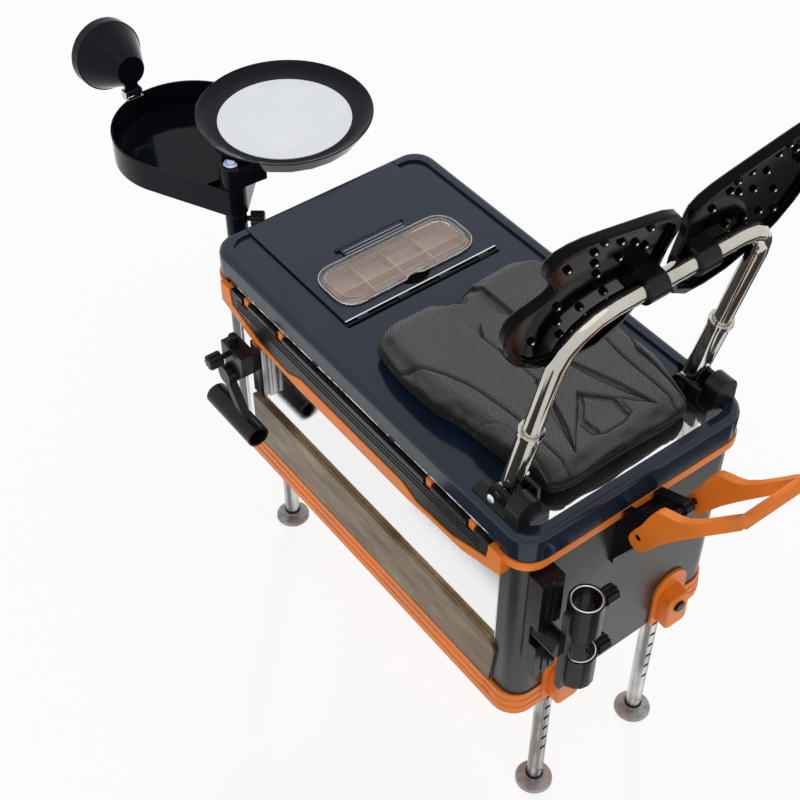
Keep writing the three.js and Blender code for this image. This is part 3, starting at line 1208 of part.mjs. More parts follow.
// Assembly
piece("body_tub", bodyTub(), "case");
piece("base_frame", baseFrame(), "orange");
piece("body_trim", bodyTrim(), "orange");
piece("lid_shell", lidShell(), "lid");
piece("lid_gasket", lidGasket(), "rubber");
for (const [name, side] of [["left", -1], ["right", 1]]) {
  piece(`${name}_lid_rod`, lidRodPiece(side), "alloy");
  piece(`${name}_latch_bar`, latchBar(side), "black");
  piece(`${name}_lower_panel`, lowerSidePanel(side), "bronze");
  piece(`${name}_backrest_bracket`, backrestBracket(side), "black");
  piece(`${name}_backrest_sleeve`, backrestSleeve(side), "chrome");
  piece(`${name}_pad_clamp`, clampBlock(side), "black");
  piece(`${name}_back_pad`, backPad(side), "black");
}
for (const [name, sx, sy] of legPlaces) {
  piece(`${name}_leg`, legTube(sx, sy), "alloy");
  piece(`${name}_foot`, legFoot(sx, sy), "alloy");
  piece(`${name}_lock_housing`, lockHousing(sx, sy), "orange");
  piece(`${name}_lock_button`, lockButton(sx, sy), "black");
}
piece("hatch_panel", hatchPanel(), "lid");
piece("hatch_hinge_rod", hatchHingeRod(), "chrome");
piece("window_cover", windowCover(), "smoked");
piece("tackle_tray", tackleTray(), "smoked");
piece("seat_cushion", seatCushion(), "fabric");
piece("backrest_tube", backrestTube(), "chrome");
piece("handle_bracket", handleBracket(), "black");
piece("carry_handle", carryHandle(), "orange");
piece("umbrella_bracket", umbrellaBracket(), "black");
piece("umbrella_arm", umbrellaArm(), "black");
piece("upper_umbrella_knob", umbrellaKnob(umbrella.top - umbrella.high, umbrella.high), "black");
piece("lower_umbrella_knob", umbrellaKnob(umbrella.lowTop - umbrella.low, umbrella.low), "black");
piece("rod_rest_rail", rodRestRail(), "alloy");
piece("rod_rest_head", rodRestHead(), "black");
piece("rod_rest_tube", rodTubePiece(), "black");
piece("rod_rest_knob", rodRestKnob(), "black");
piece("tray_bracket", trayBracket(), "black");
piece("tray_post", trayPost(), "black");
piece("tray_post_knob", trayKnob(), "black");
piece("lower_dish", lowerDish(), "black");
piece("ring_tray", ringTray(), "black");
piece("tray_bolt", trayBolt(), "chrome");
piece("ring_disc", ringDisc(), "inlay");
piece("bait_cup", baitCup(), "black");
piece("cup_clip", cupClip(), "chrome");

export default seatBox;
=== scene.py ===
# %% [markdown]
# # Fishing seat box
# An angler sits on this box at the water's edge. It is a dark plastic case on four telescopic legs, with orange
# trim, a padded seat on the lid, a folding chromed backrest with two black pads, and a bait station at the front.
# The solid model gives every real size and joint. This script gives the surfaces: colour, gloss, cloth and light.

import json
import math

import bmesh
import bpy
import numpy as np
from mathutils import Matrix, Vector
from mathutils.bvhtree import BVHTree

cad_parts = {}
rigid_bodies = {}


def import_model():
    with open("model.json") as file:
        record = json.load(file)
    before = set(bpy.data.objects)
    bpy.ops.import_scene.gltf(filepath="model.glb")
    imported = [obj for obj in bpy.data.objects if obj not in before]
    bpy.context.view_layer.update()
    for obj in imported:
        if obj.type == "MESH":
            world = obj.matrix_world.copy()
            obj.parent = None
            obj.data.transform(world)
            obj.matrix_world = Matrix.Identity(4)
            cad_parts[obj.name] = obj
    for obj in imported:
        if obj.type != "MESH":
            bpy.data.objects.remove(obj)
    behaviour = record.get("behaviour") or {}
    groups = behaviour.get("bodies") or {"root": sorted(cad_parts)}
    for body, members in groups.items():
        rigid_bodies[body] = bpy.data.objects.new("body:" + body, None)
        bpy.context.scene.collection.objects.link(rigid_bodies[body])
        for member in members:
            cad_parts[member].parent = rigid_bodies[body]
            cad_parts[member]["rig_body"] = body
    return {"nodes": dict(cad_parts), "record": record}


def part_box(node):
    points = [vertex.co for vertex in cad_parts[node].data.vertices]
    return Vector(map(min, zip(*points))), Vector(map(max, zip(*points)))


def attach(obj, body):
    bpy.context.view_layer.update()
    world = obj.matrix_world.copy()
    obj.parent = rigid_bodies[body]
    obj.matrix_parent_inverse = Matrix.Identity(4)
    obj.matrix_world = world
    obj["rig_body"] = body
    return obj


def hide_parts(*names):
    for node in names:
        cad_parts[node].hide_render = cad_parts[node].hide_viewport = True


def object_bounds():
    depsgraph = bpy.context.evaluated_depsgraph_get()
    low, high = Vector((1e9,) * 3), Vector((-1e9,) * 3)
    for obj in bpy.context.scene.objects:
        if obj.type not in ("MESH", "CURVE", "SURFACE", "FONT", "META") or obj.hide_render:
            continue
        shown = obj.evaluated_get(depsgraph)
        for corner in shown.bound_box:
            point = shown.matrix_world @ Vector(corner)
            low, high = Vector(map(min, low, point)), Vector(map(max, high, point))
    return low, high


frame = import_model()
solid_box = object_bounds()
nodes = frame["nodes"]
mm = 0.001
print("solid pieces", len(nodes), "box", [list(corner) for corner in solid_box])

# %% [markdown]
# ## The camera
# The photograph was taken from above the rear left corner with a fairly long lens. Its place and direction were
# worked out from the straight edges of the lid, whose true length and width are known.

# %% Camera of the photograph
camera_place = Vector((-0.8773, -1.0199, 1.6116))
camera_aim = Vector((0.41790, 0.55016, -0.72297))
camera_data = bpy.data.cameras.new("photo_camera")
camera_data.sensor_width = 36.0
camera_data.lens = 66.6
camera = bpy.data.objects.new("photo_camera", camera_data)
camera.location = camera_place
camera.rotation_euler = camera_aim.to_track_quat("-Z", "Y").to_euler()
bpy.context.scene.collection.objects.link(camera)
bpy.context.scene.camera = camera
print("camera lens", camera_data.lens, "mm")

# %% [markdown]
# ## Light and floor
# Soft daylight from a pale sky lights the box evenly. One low lamp from the front right makes the shadow that the
# ring tray throws on the lid. Mirrors don't see this lamp, because its small image would leave white specks on the
# lid's rim. The sky is pure white to the camera and in reflections, but a little dimmer as a lamp, so that dark
# plastic keeps its depth.

# %% Shader helpers
scene = bpy.context.scene
scene.view_settings.view_transform = "Standard"


def put(tree, value, socket):
    """Puts a value on a socket: another node's output by a link, a number or colour directly."""
    if isinstance(value, bpy.types.NodeSocket):
        tree.links.new(value, socket)
    else:
        socket.default_value = value


def shader_of(tree, kind, **values):
    """A new shader node. A name with a capital is an input of the node, any other name is a setting."""
    node = tree.nodes.new("ShaderNode" + kind)
    for name, value in values.items():
        if name[0].isupper():
            put(tree, value, node.inputs[name.replace("_", " ")])
        else:
            setattr(node, name, value)
    return node


def join(tree, inputs, **values):
    """Puts each value on the input of its name."""
    for name, value in values.items():
        put(tree, value, inputs[name.replace("_", " ")])


def math_of(tree, operation, *values, clamp=False):
    """One Math node; each operand is a socket or a number."""
    node = shader_of(tree, "Math", operation=operation, use_clamp=clamp)
    for socket, value in zip(node.inputs, values):
        put(tree, value, socket)
    return node.outputs[0]


def camera_sees(tree):
    """A value that is 1 for the camera, for mirrors and for glass, and 0 for plain light."""
    rays = shader_of(tree, "LightPath").outputs
    seen = math_of(tree, "MAXIMUM", rays["Is Camera Ray"], rays["Is Glossy Ray"])
    return math_of(tree, "MAXIMUM", seen, rays["Is Transmission Ray"])


def mix_to_surface(tree, output, factor, first, second):
    """Mixes two shaders by a factor and sends them to an output node of the given kind."""
    mix = shader_of(tree, "MixShader", Fac=factor)
    tree.links.new(first.outputs[0], mix.inputs[1])
    tree.links.new(second.outputs[0], mix.inputs[2])
    tree.links.new(mix.outputs[0], shader_of(tree, output).inputs["Surface"])


print("view transform", scene.view_settings.view_transform)

# %% Sky and lamps
white = (1, 1, 1, 1)
sky_colour = (0.97, 0.98, 1.0, 1)
sky_strength = 0.62
lamp_strength = 1.5
lamp_angle = math.radians(9)
lamp_direction = Vector((-0.61, -0.66, -0.42))
fill_strength = 0.35
fill_angle = math.radians(60)
fill_direction = Vector((0.35, 0.45, -1.0))

world = bpy.data.worlds.new("pale_sky")
scene.world = world
world.use_nodes = True
sky = world.node_tree
sky.nodes.clear()
sky_lamp = shader_of(sky, "Background", Color=sky_colour, Strength=sky_strength)
sky_view = shader_of(sky, "Background", Color=white)
mix_to_surface(sky, "OutputWorld", camera_sees(sky), sky_lamp, sky_view)


def add_lamp(name, direction, strength, angle):
    """A distant lamp that shines along a direction."""
    data = bpy.data.lights.new(name, "SUN")
    data.energy = strength
    data.angle = angle
    lamp = bpy.data.objects.new(name, data)
    lamp.rotation_euler = direction.to_track_quat("-Z", "Y").to_euler()
    scene.collection.objects.link(lamp)
    return lamp


low_lamp = add_lamp("low_lamp", lamp_direction, lamp_strength, lamp_angle)
low_lamp.visible_glossy = False
add_lamp("soft_fill", fill_direction, fill_strength, fill_angle)
print("sky", sky_strength, "lamp", lamp_strength)

# %% Floor
floor_half = 30.0
floor_gap = 0.0002
floor_lift = 0.85
floor_grey = (0.93, 0.93, 0.93, 1)


def place_object(form, name, material):
    """Makes a bmesh an object of the scene with one material."""
    data = bpy.data.meshes.new(name)
    form.to_mesh(data)
    form.free()
    data.materials.append(material)
    placed = bpy.data.objects.new(name, data)
    scene.collection.objects.link(placed)
    return placed


def lay_sheet(name, spot, half_size, lift, material):
    """A flat sheet of the studio, lying just above or below the level of the feet."""
    form = bmesh.new()
    bmesh.ops.create_grid(form, x_segments=1, y_segments=1, size=1)
    bmesh.ops.scale(form, verts=form.verts, vec=(*half_size, 1))
    bmesh.ops.translate(form, verts=form.verts, vec=(*spot, solid_box[0].z + lift))
    sheet = place_object(form, name, material)
    return sheet


floor_paint = bpy.data.materials.new("pale_floor")
floor_paint.use_nodes = True
paint = floor_paint.node_tree
paint.nodes.clear()
matt = shader_of(paint, "BsdfDiffuse", Color=floor_grey)
glow = shader_of(paint, "Emission", Color=white)
mix_to_surface(paint, "OutputMaterial", math_of(paint, "MULTIPLY", camera_sees(paint), floor_lift), matt, glow)
lay_sheet("floor", (0, 0), (floor_half, floor_half), -floor_gap, floor_paint)
print("floor height", round(solid_box[0].z, 4))

# %% [markdown]
# Chrome in an all white room looks like paper. A photographer lays dark cards beside the object, outside the
# picture, so that each tube mirrors dark stripes. These cards lie on the floor behind the box, to its right and to
# its left. Only reflections see them: they throw no shadow and take no light away.

# %% Dark cards for the metal
card_rise = 0.002
card_colour = (0.05, 0.048, 0.042, 1)
card_places = {
    "rear_card": ((0.55, -1.02), (0.75, 0.40)),
    "right_card": ((1.05, 0.1), (0.35, 0.65)),
    "left_card": ((-0.62, -0.12), (0.2, 0.32)),
}
card_paint = bpy.data.materials.new("dark_card")
card_paint.use_nodes = True
card_shader = card_paint.node_tree.nodes["Principled BSDF"]
join(card_paint.node_tree, card_shader.inputs, Base_Color=card_colour, Roughness=0.9)
for card_name, (spot, half_size) in card_places.items():
    card = lay_sheet(card_name, spot, half_size, card_rise, card_paint)
    card.visible_camera = False
    card.visible_diffuse = False
    card.visible_transmission = False
    card.visible_shadow = False
print("cards", sorted(card_places))

# %% [markdown]
# ## Softened edges and wear
# No moulded edge is razor sharp. A Bevel node bends the shading over the last millimetre of an edge, and the
# difference between the bent and the true normal marks the edge itself, where dust and rubbing lighten the plastic.
# Modelled bevels would do this too, but the node keeps the mesh of each piece as light as the solid.


# %% Node group of softened edges
def make_group(name, inputs, outputs):
    """A node group with named sockets. Inputs are (name, kind, value) and outputs (name, kind)."""
    group = bpy.data.node_groups.new(name, "ShaderNodeTree")
    for label, kind, value in inputs:
        socket = group.interface.new_socket(name=label, in_out="INPUT", socket_type="NodeSocket" + kind)
        socket.default_value = value
    for label, kind in outputs:
        group.interface.new_socket(name=label, in_out="OUTPUT", socket_type="NodeSocket" + kind)
    entry = group.nodes.new("NodeGroupInput")
    leave = group.nodes.new("NodeGroupOutput")
    return group, entry.outputs, leave.inputs


edge_gain = 5.0
edges, edge_in, edge_out = make_group(
    "softened_edges",
    [("Radius", "Float", 0.001)],
    [("Normal", "Vector"), ("Edge", "Float")],
)
bent_normal = shader_of(edges, "Bevel", samples=6, Radius=edge_in["Radius"]).outputs["Normal"]
true_normal = shader_of(edges, "NewGeometry").outputs["Normal"]
likeness = shader_of(edges, "VectorMath", operation="DOT_PRODUCT")
edges.links.new(bent_normal, likeness.inputs[0])
edges.links.new(true_normal, likeness.inputs[1])
edge_mask = math_of(edges, "SUBTRACT", 1.0, likeness.outputs["Value"])
edge_mask = math_of(edges, "MULTIPLY", edge_mask, edge_gain, clamp=True)
join(edges, edge_out, Normal=bent_normal, Edge=edge_mask)
print("group", edges.name, "with", len(edges.nodes), "nodes")

# %% [markdown]
# ## Moulded plastic
# The case, the trim and the clamps are injection moulded. Close up such plastic is never one flat colour: it has
# faint clouds in the pigment, a fine mould grain, dust in the hollows and paler, rubbed edges. One node group gives
# all of these but the dust, and each colour of plastic places it with its own values.


# %% Colour, noise and relief
def mix_colour(tree, factor, first, second, blend="MIX"):
    """Mixes two colours; each operand is a socket or a plain value."""
    node = shader_of(tree, "Mix", data_type="RGBA", blend_type=blend)
    for place, value in ((0, factor), (6, first), (7, second)):
        put(tree, value, node.inputs[place])
    return node.outputs[2]


def noise_of(tree, scale, detail=2.0, vector=None):
    """A noise value over Object coordinates; scale is a number or a socket."""
    if vector is None:
        vector = shader_of(tree, "TexCoord").outputs["Object"]
    return shader_of(tree, "TexNoise", Vector=vector, Scale=scale, Detail=detail).outputs["Fac"]


def relief_of(tree, height, distance, **more):
    """The normal of a surface with a fine relief."""
    return shader_of(tree, "Bump", Height=height, Distance=distance, **more).outputs["Normal"]


print("helpers of colour, noise and relief")

# %% Node group of moulded plastic
plastic, plastic_in, plastic_out = make_group(
    "moulded_plastic",
    [
        ("Color", "Color", (0.02, 0.02, 0.02, 1)),
        ("Rubbed Color", "Color", (0.2, 0.2, 0.2, 1)),
        ("Wear", "Float", 0.4),
        ("Roughness", "Float", 0.3),
        ("Grain Scale", "Float", 1400.0),
        ("Grain Depth", "Float", 0.00002),
        ("Edge Radius", "Float", 0.001),
    ],
    [("Color", "Color"), ("Roughness", "Float"), ("Normal", "Vector")],
)
cloud_depth, cloud_floor = 0.5, 0.75
smear_share, rub_roughness = 0.7, 0.3
soft = shader_of(plastic, "Group", node_tree=edges, Radius=plastic_in["Edge Radius"])
clouds = noise_of(plastic, 14.0, 4.0)
scuffs = noise_of(plastic, 140.0, 3.0)
grain = noise_of(plastic, plastic_in["Grain Scale"], 1.0)
cloudy = math_of(plastic, "MULTIPLY_ADD", clouds, cloud_depth, cloud_floor)
shaded = mix_colour(plastic, 1.0, plastic_in["Color"], cloudy, "MULTIPLY")
rubbed = math_of(plastic, "MULTIPLY", soft.outputs["Edge"], scuffs)
rubbed = math_of(plastic, "MULTIPLY", rubbed, plastic_in["Wear"], clamp=True)
worn = mix_colour(plastic, rubbed, shaded, plastic_in["Rubbed Color"])
smears = math_of(plastic, "SUBTRACT", clouds, 0.5)
smears = math_of(plastic, "MULTIPLY", smears, math_of(plastic, "MULTIPLY", plastic_in["Roughness"], smear_share))
rough = math_of(plastic, "ADD", plastic_in["Roughness"], smears)
rough = math_of(plastic, "ADD", rough, math_of(plastic, "MULTIPLY", rubbed, rub_roughness), clamp=True)
grained = relief_of(plastic, grain, plastic_in["Grain Depth"], Strength=1.0, Normal=soft.outputs["Normal"])
join(plastic, plastic_out, Color=worn, Roughness=rough, Normal=grained)
print("group", plastic.name, "with", len(plastic.nodes), "nodes")

# %% [markdown]
# ## Polished and brushed metal
# The backrest is chromed tube, the legs are drawn aluminium and the feet are turned. Metal takes its look from what
# it reflects, so its roughness matters more than its colour: a few smudges on the chrome, and fine lines and darker
# streaks along the legs.

# %% Node group of worked metal
metal, metal_in, metal_out = make_group(
    "worked_metal",
    [
        ("Color", "Color", (0.8, 0.8, 0.8, 1)),
        ("Dull Color", "Color", (0.5, 0.5, 0.5, 1)),
        ("Roughness", "Float", 0.1),
        ("Smudges", "Float", 0.1),
        ("Lines", "Float", 0.0),
        ("Streaks", "Float", 0.0),
        ("Edge Radius", "Float", 0.0006),
    ],
    [("Color", "Color"), ("Roughness", "Float"), ("Normal", "Vector")],
)
along_tube = (1.0, 1.0, 0.02)
line_depth = 0.00001
streak_start, streak_gain = 0.42, 5.0
soft = shader_of(metal, "Group", node_tree=edges, Radius=metal_in["Edge Radius"])
smudge = noise_of(metal, 22.0, 5.0)
smudge = math_of(metal, "MULTIPLY", smudge, smudge)
rough = math_of(metal, "MULTIPLY", smudge, metal_in["Smudges"])
rough = math_of(metal, "ADD", rough, metal_in["Roughness"], clamp=True)
own_place = shader_of(metal, "TexCoord").outputs["Object"]
stretched = shader_of(metal, "Mapping", Scale=along_tube, Vector=own_place).outputs[0]
drawn = noise_of(metal, 1800.0, 1.0, stretched)
streak = noise_of(metal, 95.0, 2.0, stretched)
streak = math_of(metal, "MULTIPLY", math_of(metal, "SUBTRACT", streak, streak_start), streak_gain, clamp=True)
dulled = math_of(metal, "ADD", smudge, math_of(metal, "MULTIPLY", streak, metal_in["Streaks"]), clamp=True)
tone = mix_colour(metal, dulled, metal_in["Color"], metal_in["Dull Color"])
lined = relief_of(metal, drawn, line_depth, Strength=metal_in["Lines"], Normal=soft.outputs["Normal"])
join(metal, metal_out, Color=tone, Roughness=rough, Normal=lined)
print("group", metal.name, "with", len(metal.nodes), "nodes")

# %% [markdown]
# ## The finishes
# Each finish is one material. The shader's fixed numbers, such as its gloss level, sit on its own sockets, and only
# what changes over the surface comes from the groups.


# %% Plastics
def start_material(name, **fixed):
    """A material with one Principled shader; fixed values go straight on its sockets."""
    material = bpy.data.materials.new(name)
    material.use_nodes = True
    tree = material.node_tree
    shader = tree.nodes["Principled BSDF"]
    join(tree, shader.inputs, **fixed)
    return material, tree, shader.inputs


def feed(tree, inputs, group, **values):
    """Places a group with its values and joins its colour, roughness and normal to the shader's inputs."""
    given = shader_of(tree, "Group", node_tree=group, **values).outputs
    join(tree, inputs, Base_Color=given["Color"], Roughness=given["Roughness"], Normal=given["Normal"])


def plastic_material(name, colour, rubbed, roughness, wear=0.4, grain=0.00002, edge=0.001, **fixed):
    """A plastic in one colour, paler where its edges are rubbed."""
    material, tree, inputs = start_material(name, **fixed)
    feed(
        tree, inputs, plastic, Color=(*colour, 1), Rubbed_Color=(*rubbed, 1), Roughness=roughness, Wear=wear,
        Grain_Depth=grain, Edge_Radius=edge,
    )
    return material, tree, inputs


finish = {}
finish["orange"] = plastic_material(
    "orange_plastic", (0.86, 0.215, 0.017), (0.95, 0.42, 0.16), 0.36, wear=0.6, Specular_IOR_Level=0.35
)[0]
finish["black"] = plastic_material(
    "satin_black", (0.0065, 0.0068, 0.0075), (0.06, 0.06, 0.062), 0.24, wear=0.5, Specular_IOR_Level=0.24
)[0]
finish["gloss"] = plastic_material(
    "gloss_black", (0.0042, 0.0055, 0.0095), (0.05, 0.055, 0.07), 0.09, wear=0.35, grain=0.000004,
    Specular_IOR_Level=0.11,
)[0]
finish["pad"] = plastic_material(
    "pad_black", (0.0012, 0.0013, 0.0016), (0.03, 0.032, 0.034), 0.12, wear=0.3, grain=0.000004, edge=0.0015,
    Specular_IOR_Level=0.07,
)[0]
finish["rubber"] = plastic_material(
    "seal_rubber", (0.012, 0.012, 0.012), (0.03, 0.03, 0.03), 0.75, grain=0.00006
)[0]
print("plastics", sorted(finish))

# %% [markdown]
# ## Lid and case
# The lid is glossy navy and picks up the sky. The case is nearly black with a green tinge. Its long sides carry
# a flat panel polished like a mirror, and the deck behind the seat is polished the same way, so both show the pale
# surroundings. The polish is a mask on the piece's own coordinates, because it is part of the same moulding.


# %% Masks on a piece's own coordinates
def step_mask(tree, value, edge, width):
    """1 where the value is above the edge, 0 below it, over a narrow ramp."""
    low, high = edge - width / 2, edge + width / 2
    ramp = shader_of(tree, "MapRange", interpolation_type="SMOOTHSTEP", Value=value, From_Min=low, From_Max=high)
    return ramp.outputs["Result"]


def below_mask(tree, value, edge, width):
    """1 where the value is below the edge, 0 above it, over a narrow ramp."""
    return step_mask(tree, math_of(tree, "MULTIPLY", value, -1.0), -edge, width)


def all_masks(tree, first, *others):
    """1 only where every mask is 1."""
    for other in others:
        first = math_of(tree, "MULTIPLY", first, other)
    return first


def own_axes(tree):
    """The piece's own X, Y and Z as three sockets."""
    return shader_of(tree, "SeparateXYZ", Vector=shader_of(tree, "TexCoord").outputs["Object"]).outputs


def polish(tree, inputs, mask, colour, roughness):
    """Turns the masked part of a plastic into polished metal foil."""
    base, rough = (inputs[name].links[0].from_socket for name in ("Base Color", "Roughness"))
    blend = shader_of(tree, "Mix")
    for place, value in ((0, mask), (2, rough), (3, roughness)):
        put(tree, value, blend.inputs[place])
    mixed = mix_colour(tree, mask, base, colour)
    join(tree, inputs, Base_Color=mixed, Roughness=blend.outputs[0], Metallic=mask)


print("masks ready")

# %% Lid and case
seat_rear, rear_wall, bracket_inner, deck_top = -0.2585, -0.306, 0.152, 0.3475
finish["lid"], tree, inputs = plastic_material(
    "lid_plastic", (0.0095, 0.0165, 0.036), (0.07, 0.09, 0.13), 0.13, wear=0.0, grain=0.0, edge=0.0,
    Specular_IOR_Level=0.34,
)
x, y, z = own_axes(tree)
mask = all_masks(
    tree,
    below_mask(tree, y, seat_rear, 0.001),
    below_mask(tree, math_of(tree, "ABSOLUTE", x), bracket_inner, 0.001),
    below_mask(tree, z, deck_top, 0.0008),
    step_mask(tree, y, rear_wall, 0.001),
)
polish(tree, inputs, mask, (0.93, 0.94, 0.95, 1), 0.07)

panel_face, panel_end = 0.1645, 0.2735
finish["case"], tree, inputs = plastic_material(
    "case_plastic", (0.020, 0.022, 0.017), (0.09, 0.09, 0.08), 0.30, wear=0.5, grain=0.00003, edge=0.0015
)
x, y, z = own_axes(tree)
mask = all_masks(
    tree,
    step_mask(tree, math_of(tree, "ABSOLUTE", x), panel_face, 0.0004),
    below_mask(tree, math_of(tree, "ABSOLUTE", y), panel_end, 0.001),
)
polish(tree, inputs, mask, (0.9, 0.9, 0.9, 1), 0.06)
print("lid and case finished")

# %% [markdown]
# ## Bronze strips
# Along the foot of each long side runs a glossy strip in brown bronze that mirrors stones and grass. The mottling is
# painted reflection of those stones and grass: a stretched noise in three browns, and the strip stays glossy over it.

# %% Bronze strip
patch_share, fine_share = 0.75, 0.25
reflection_browns = ((0.32, (0.060, 0.045, 0.024, 1)), (0.5, (0.175, 0.108, 0.050, 1)), (0.70, (0.28, 0.215, 0.115, 1)))
finish["bronze"], tree, inputs = start_material("bronze_strip", Metallic=0.35, Specular_IOR_Level=0.25)
softened = shader_of(tree, "Group", node_tree=edges, Radius=0.0012)
own_place = shader_of(tree, "TexCoord").outputs["Object"]
stretched = shader_of(
    tree, "Mapping", Scale=(1.0, 0.35, 1.2), Rotation=(math.radians(25), 0, 0), Vector=own_place
).outputs[0]
patches = noise_of(tree, 38.0, 7.0, stretched)
fine = noise_of(tree, 300.0, 4.0, stretched)
painted_reflection = math_of(
    tree, "ADD", math_of(tree, "MULTIPLY", patches, patch_share), math_of(tree, "MULTIPLY", fine, fine_share)
)
# The ramp turns the noise into painted reflection in three browns.
ramp = shader_of(tree, "ValToRGB", Fac=painted_reflection)
ramp.color_ramp.elements.new(reflection_browns[1][0])
for element, (position, colour) in zip(ramp.color_ramp.elements, reflection_browns):
    element.position = position
    element.color = colour
rough = math_of(tree, "MULTIPLY_ADD", fine, 0.15, 0.16)
join(tree, inputs, Base_Color=ramp.outputs["Color"], Roughness=rough, Normal=softened.outputs["Normal"])
print("bronze strip finished")

# %% [markdown]
# ## Metals
# Chrome is a mirror with a few smudges. The legs are drawn aluminium with fine lines and streaks. The feet, turned
# from the same metal, are duller and greyer.


# %% Metals
def metal_material(name, colour, dull, roughness, smudges, lines=0.0, streaks=0.0, metallic=1.0):
    """A metal in one colour, with a duller colour in its smudges and streaks."""
    material, tree, inputs = start_material(name, Metallic=metallic)
    feed(
        tree, inputs, metal, Color=(*colour, 1), Dull_Color=(*dull, 1), Roughness=roughness, Smudges=smudges,
        Lines=lines, Streaks=streaks,
    )
    return material


finish["chrome"] = metal_material("chrome", (0.60, 0.58, 0.53), (0.34, 0.32, 0.28), 0.05, 0.14)
finish["alloy"] = metal_material(
    "drawn_aluminium", (0.80, 0.80, 0.79), (0.20, 0.19, 0.18), 0.16, 0.2, lines=0.6, streaks=0.85
)
finish["turned"] = metal_material(
    "turned_aluminium", (0.46, 0.46, 0.47), (0.16, 0.16, 0.16), 0.42, 0.4, streaks=0.4, metallic=0.55
)
finish["bolt"] = metal_material("blued_bolt", (0.45, 0.55, 0.74), (0.3, 0.36, 0.5), 0.14, 0.2)
print("metals finished")

# %% [markdown]
# ## Smoked window
# The window in the hatch is a thin smoked cover. Light passes through and picks up a warm grey, so the tackle tray
# below shows through. The cover is paler along its edges, as painted highlight of its rims. The tray is milky
# plastic, and the edges of its ribs are lightened so strongly that they are painted highlight as much as wear.

# %% Smoked plastic and milky tray
finish["smoked"], tree, inputs = start_material(
    "smoked_cover", Metallic=0.0, IOR=1.25, Transmission_Weight=0.93, Specular_IOR_Level=0.75
)
# The cover's edges are paler: painted highlight of its rims.
rim_highlight_mask = shader_of(tree, "Group", node_tree=edges, Radius=0.0004).outputs["Edge"]
tint_with_rim_highlight = mix_colour(tree, rim_highlight_mask, (0.86, 0.80, 0.76, 1), (0.95, 0.93, 0.90, 1))
rough = math_of(tree, "MULTIPLY", noise_of(tree, 260.0, 6.0), 0.09)
join(tree, inputs, Base_Color=tint_with_rim_highlight, Roughness=rough)
# The rubbed colour is near white and the wear far above the other plastics, so the rib edges come out pale: painted
# highlight along the ribs as well as rubbing.
finish["tray"] = plastic_material(
    "milky_tray", (0.70, 0.60, 0.55), (1.0, 0.97, 0.93), 0.3, wear=2.2, grain=0.00003, edge=0.0009
)[0]
print("window finished")

# %% [markdown]
# ## White disc
# A white non-slip disc lies in the ring tray. Its surface is finely pebbled, with a brighter band where light grazes
# it, so a small bump of two noises does the work.

# %% White disc
finish["inlay"], tree, inputs = start_material("white_disc")
pebbles = noise_of(tree, 420.0, 3.0)
waves = noise_of(tree, 26.0, 4.0)
tone = mix_colour(tree, waves, (0.88, 0.89, 0.91, 1), (0.76, 0.78, 0.82, 1))
rough = math_of(tree, "MULTIPLY_ADD", pebbles, 0.3, 0.3)
pebbled = relief_of(tree, math_of(tree, "ADD", pebbles, waves), 0.0006)
join(tree, inputs, Base_Color=tone, Roughness=rough, Normal=pebbled)
print("disc finished")

# %% [markdown]
# ## From solid to finished piece
# The solid's facets are right in size but look cut. Each hard piece is therefore copied, its loose triangles are
# joined, flat areas are made one face again, and shallow angles are shaded smooth while true edges stay crisp. The
# copy stands for the solid and rides on the same body, so it moves with the same joint.

# %% Joining and settling a piece
body_of_node = {name: obj["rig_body"] for name, obj in nodes.items()}
slot_of_node = {part["node"]: part["material_slot"] for part in frame["record"]["subparts"]}
smooth_limit = math.radians(40)
flat_limit = math.radians(0.4)
join_distance = 0.00001


def joined_copy(node):
    """A bmesh copy of a solid with its loose triangles joined and flat areas made whole."""
    form = bmesh.new()
    form.from_mesh(nodes[node].data)
    bmesh.ops.remove_doubles(form, verts=form.verts, dist=join_distance)
    bmesh.ops.dissolve_limit(form, angle_limit=flat_limit, verts=form.verts, edges=form.edges)
    return form


def settle(form, name, material, body):
    """Makes a bmesh a finished piece that rides on a body."""
    for face in form.faces:
        face.smooth = True
    for edge in form.edges:
        edge.smooth = len(edge.link_faces) == 2 and edge.calc_face_angle() < smooth_limit
    piece = place_object(form, name, material)
    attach(piece, body)
    return piece


# %% [markdown]
# ### Rounder turned pieces
# The solid's circles are drawn with few chords, and on a dish or a foot the eye sees each of them. Every chord on a
# circle about the piece's axis is cut into shorter ones, and the new corners are pushed out to the true circle. The
# size of the piece stays, because no corner goes further out than the solid's own.


# %% Rounding off
def circle_rings(form, to_axis, chords, smallest):
    """The radii, about the axis and above the smallest, at which many corners of a turned solid lie."""
    counts = {}
    for vert in form.verts:
        radius = round((to_axis @ vert.co).xy.length, 5)
        counts[radius] = counts.get(radius, 0) + 1
    return sorted(radius for radius, count in counts.items() if count >= chords and radius > smallest)


def round_off(form, to_axis, chords, smallest=0.004, cuts=2):
    """Cuts each chord of a turned solid into shorter ones and pushes the new corners out to the true circle."""
    rings = circle_rings(form, to_axis, chords, smallest)
    slack = 0.00003
    inner = math.cos(math.pi / chords)

    def ring_of(vert):
        radius = (to_axis @ vert.co).xy.length
        for ring in rings:
            if ring * inner - slack <= radius <= ring + slack:
                return ring
        return None

    chord_edges = []
    for edge in form.edges:
        first, second = edge.verts
        ring = ring_of(first)
        if ring and ring == ring_of(second):
            span = (to_axis @ first.co).xy - (to_axis @ second.co).xy
            if span.length > ring * math.pi / chords:
                chord_edges.append(edge)
    bmesh.ops.subdivide_edges(form, edges=chord_edges, cuts=cuts, use_grid_fill=True)
    back = to_axis.inverted()
    for vert in form.verts:
        ring = ring_of(vert)
        if ring:
            place = to_axis @ vert.co
            place.xy = place.xy.normalized() * ring
            vert.co = back @ place
    return len(chord_edges)


def upright_axis(x, y):
    """Turns world places into places about an upright axis at x, y in millimetres."""
    return Matrix.Translation((-x * mm, -y * mm, 0))


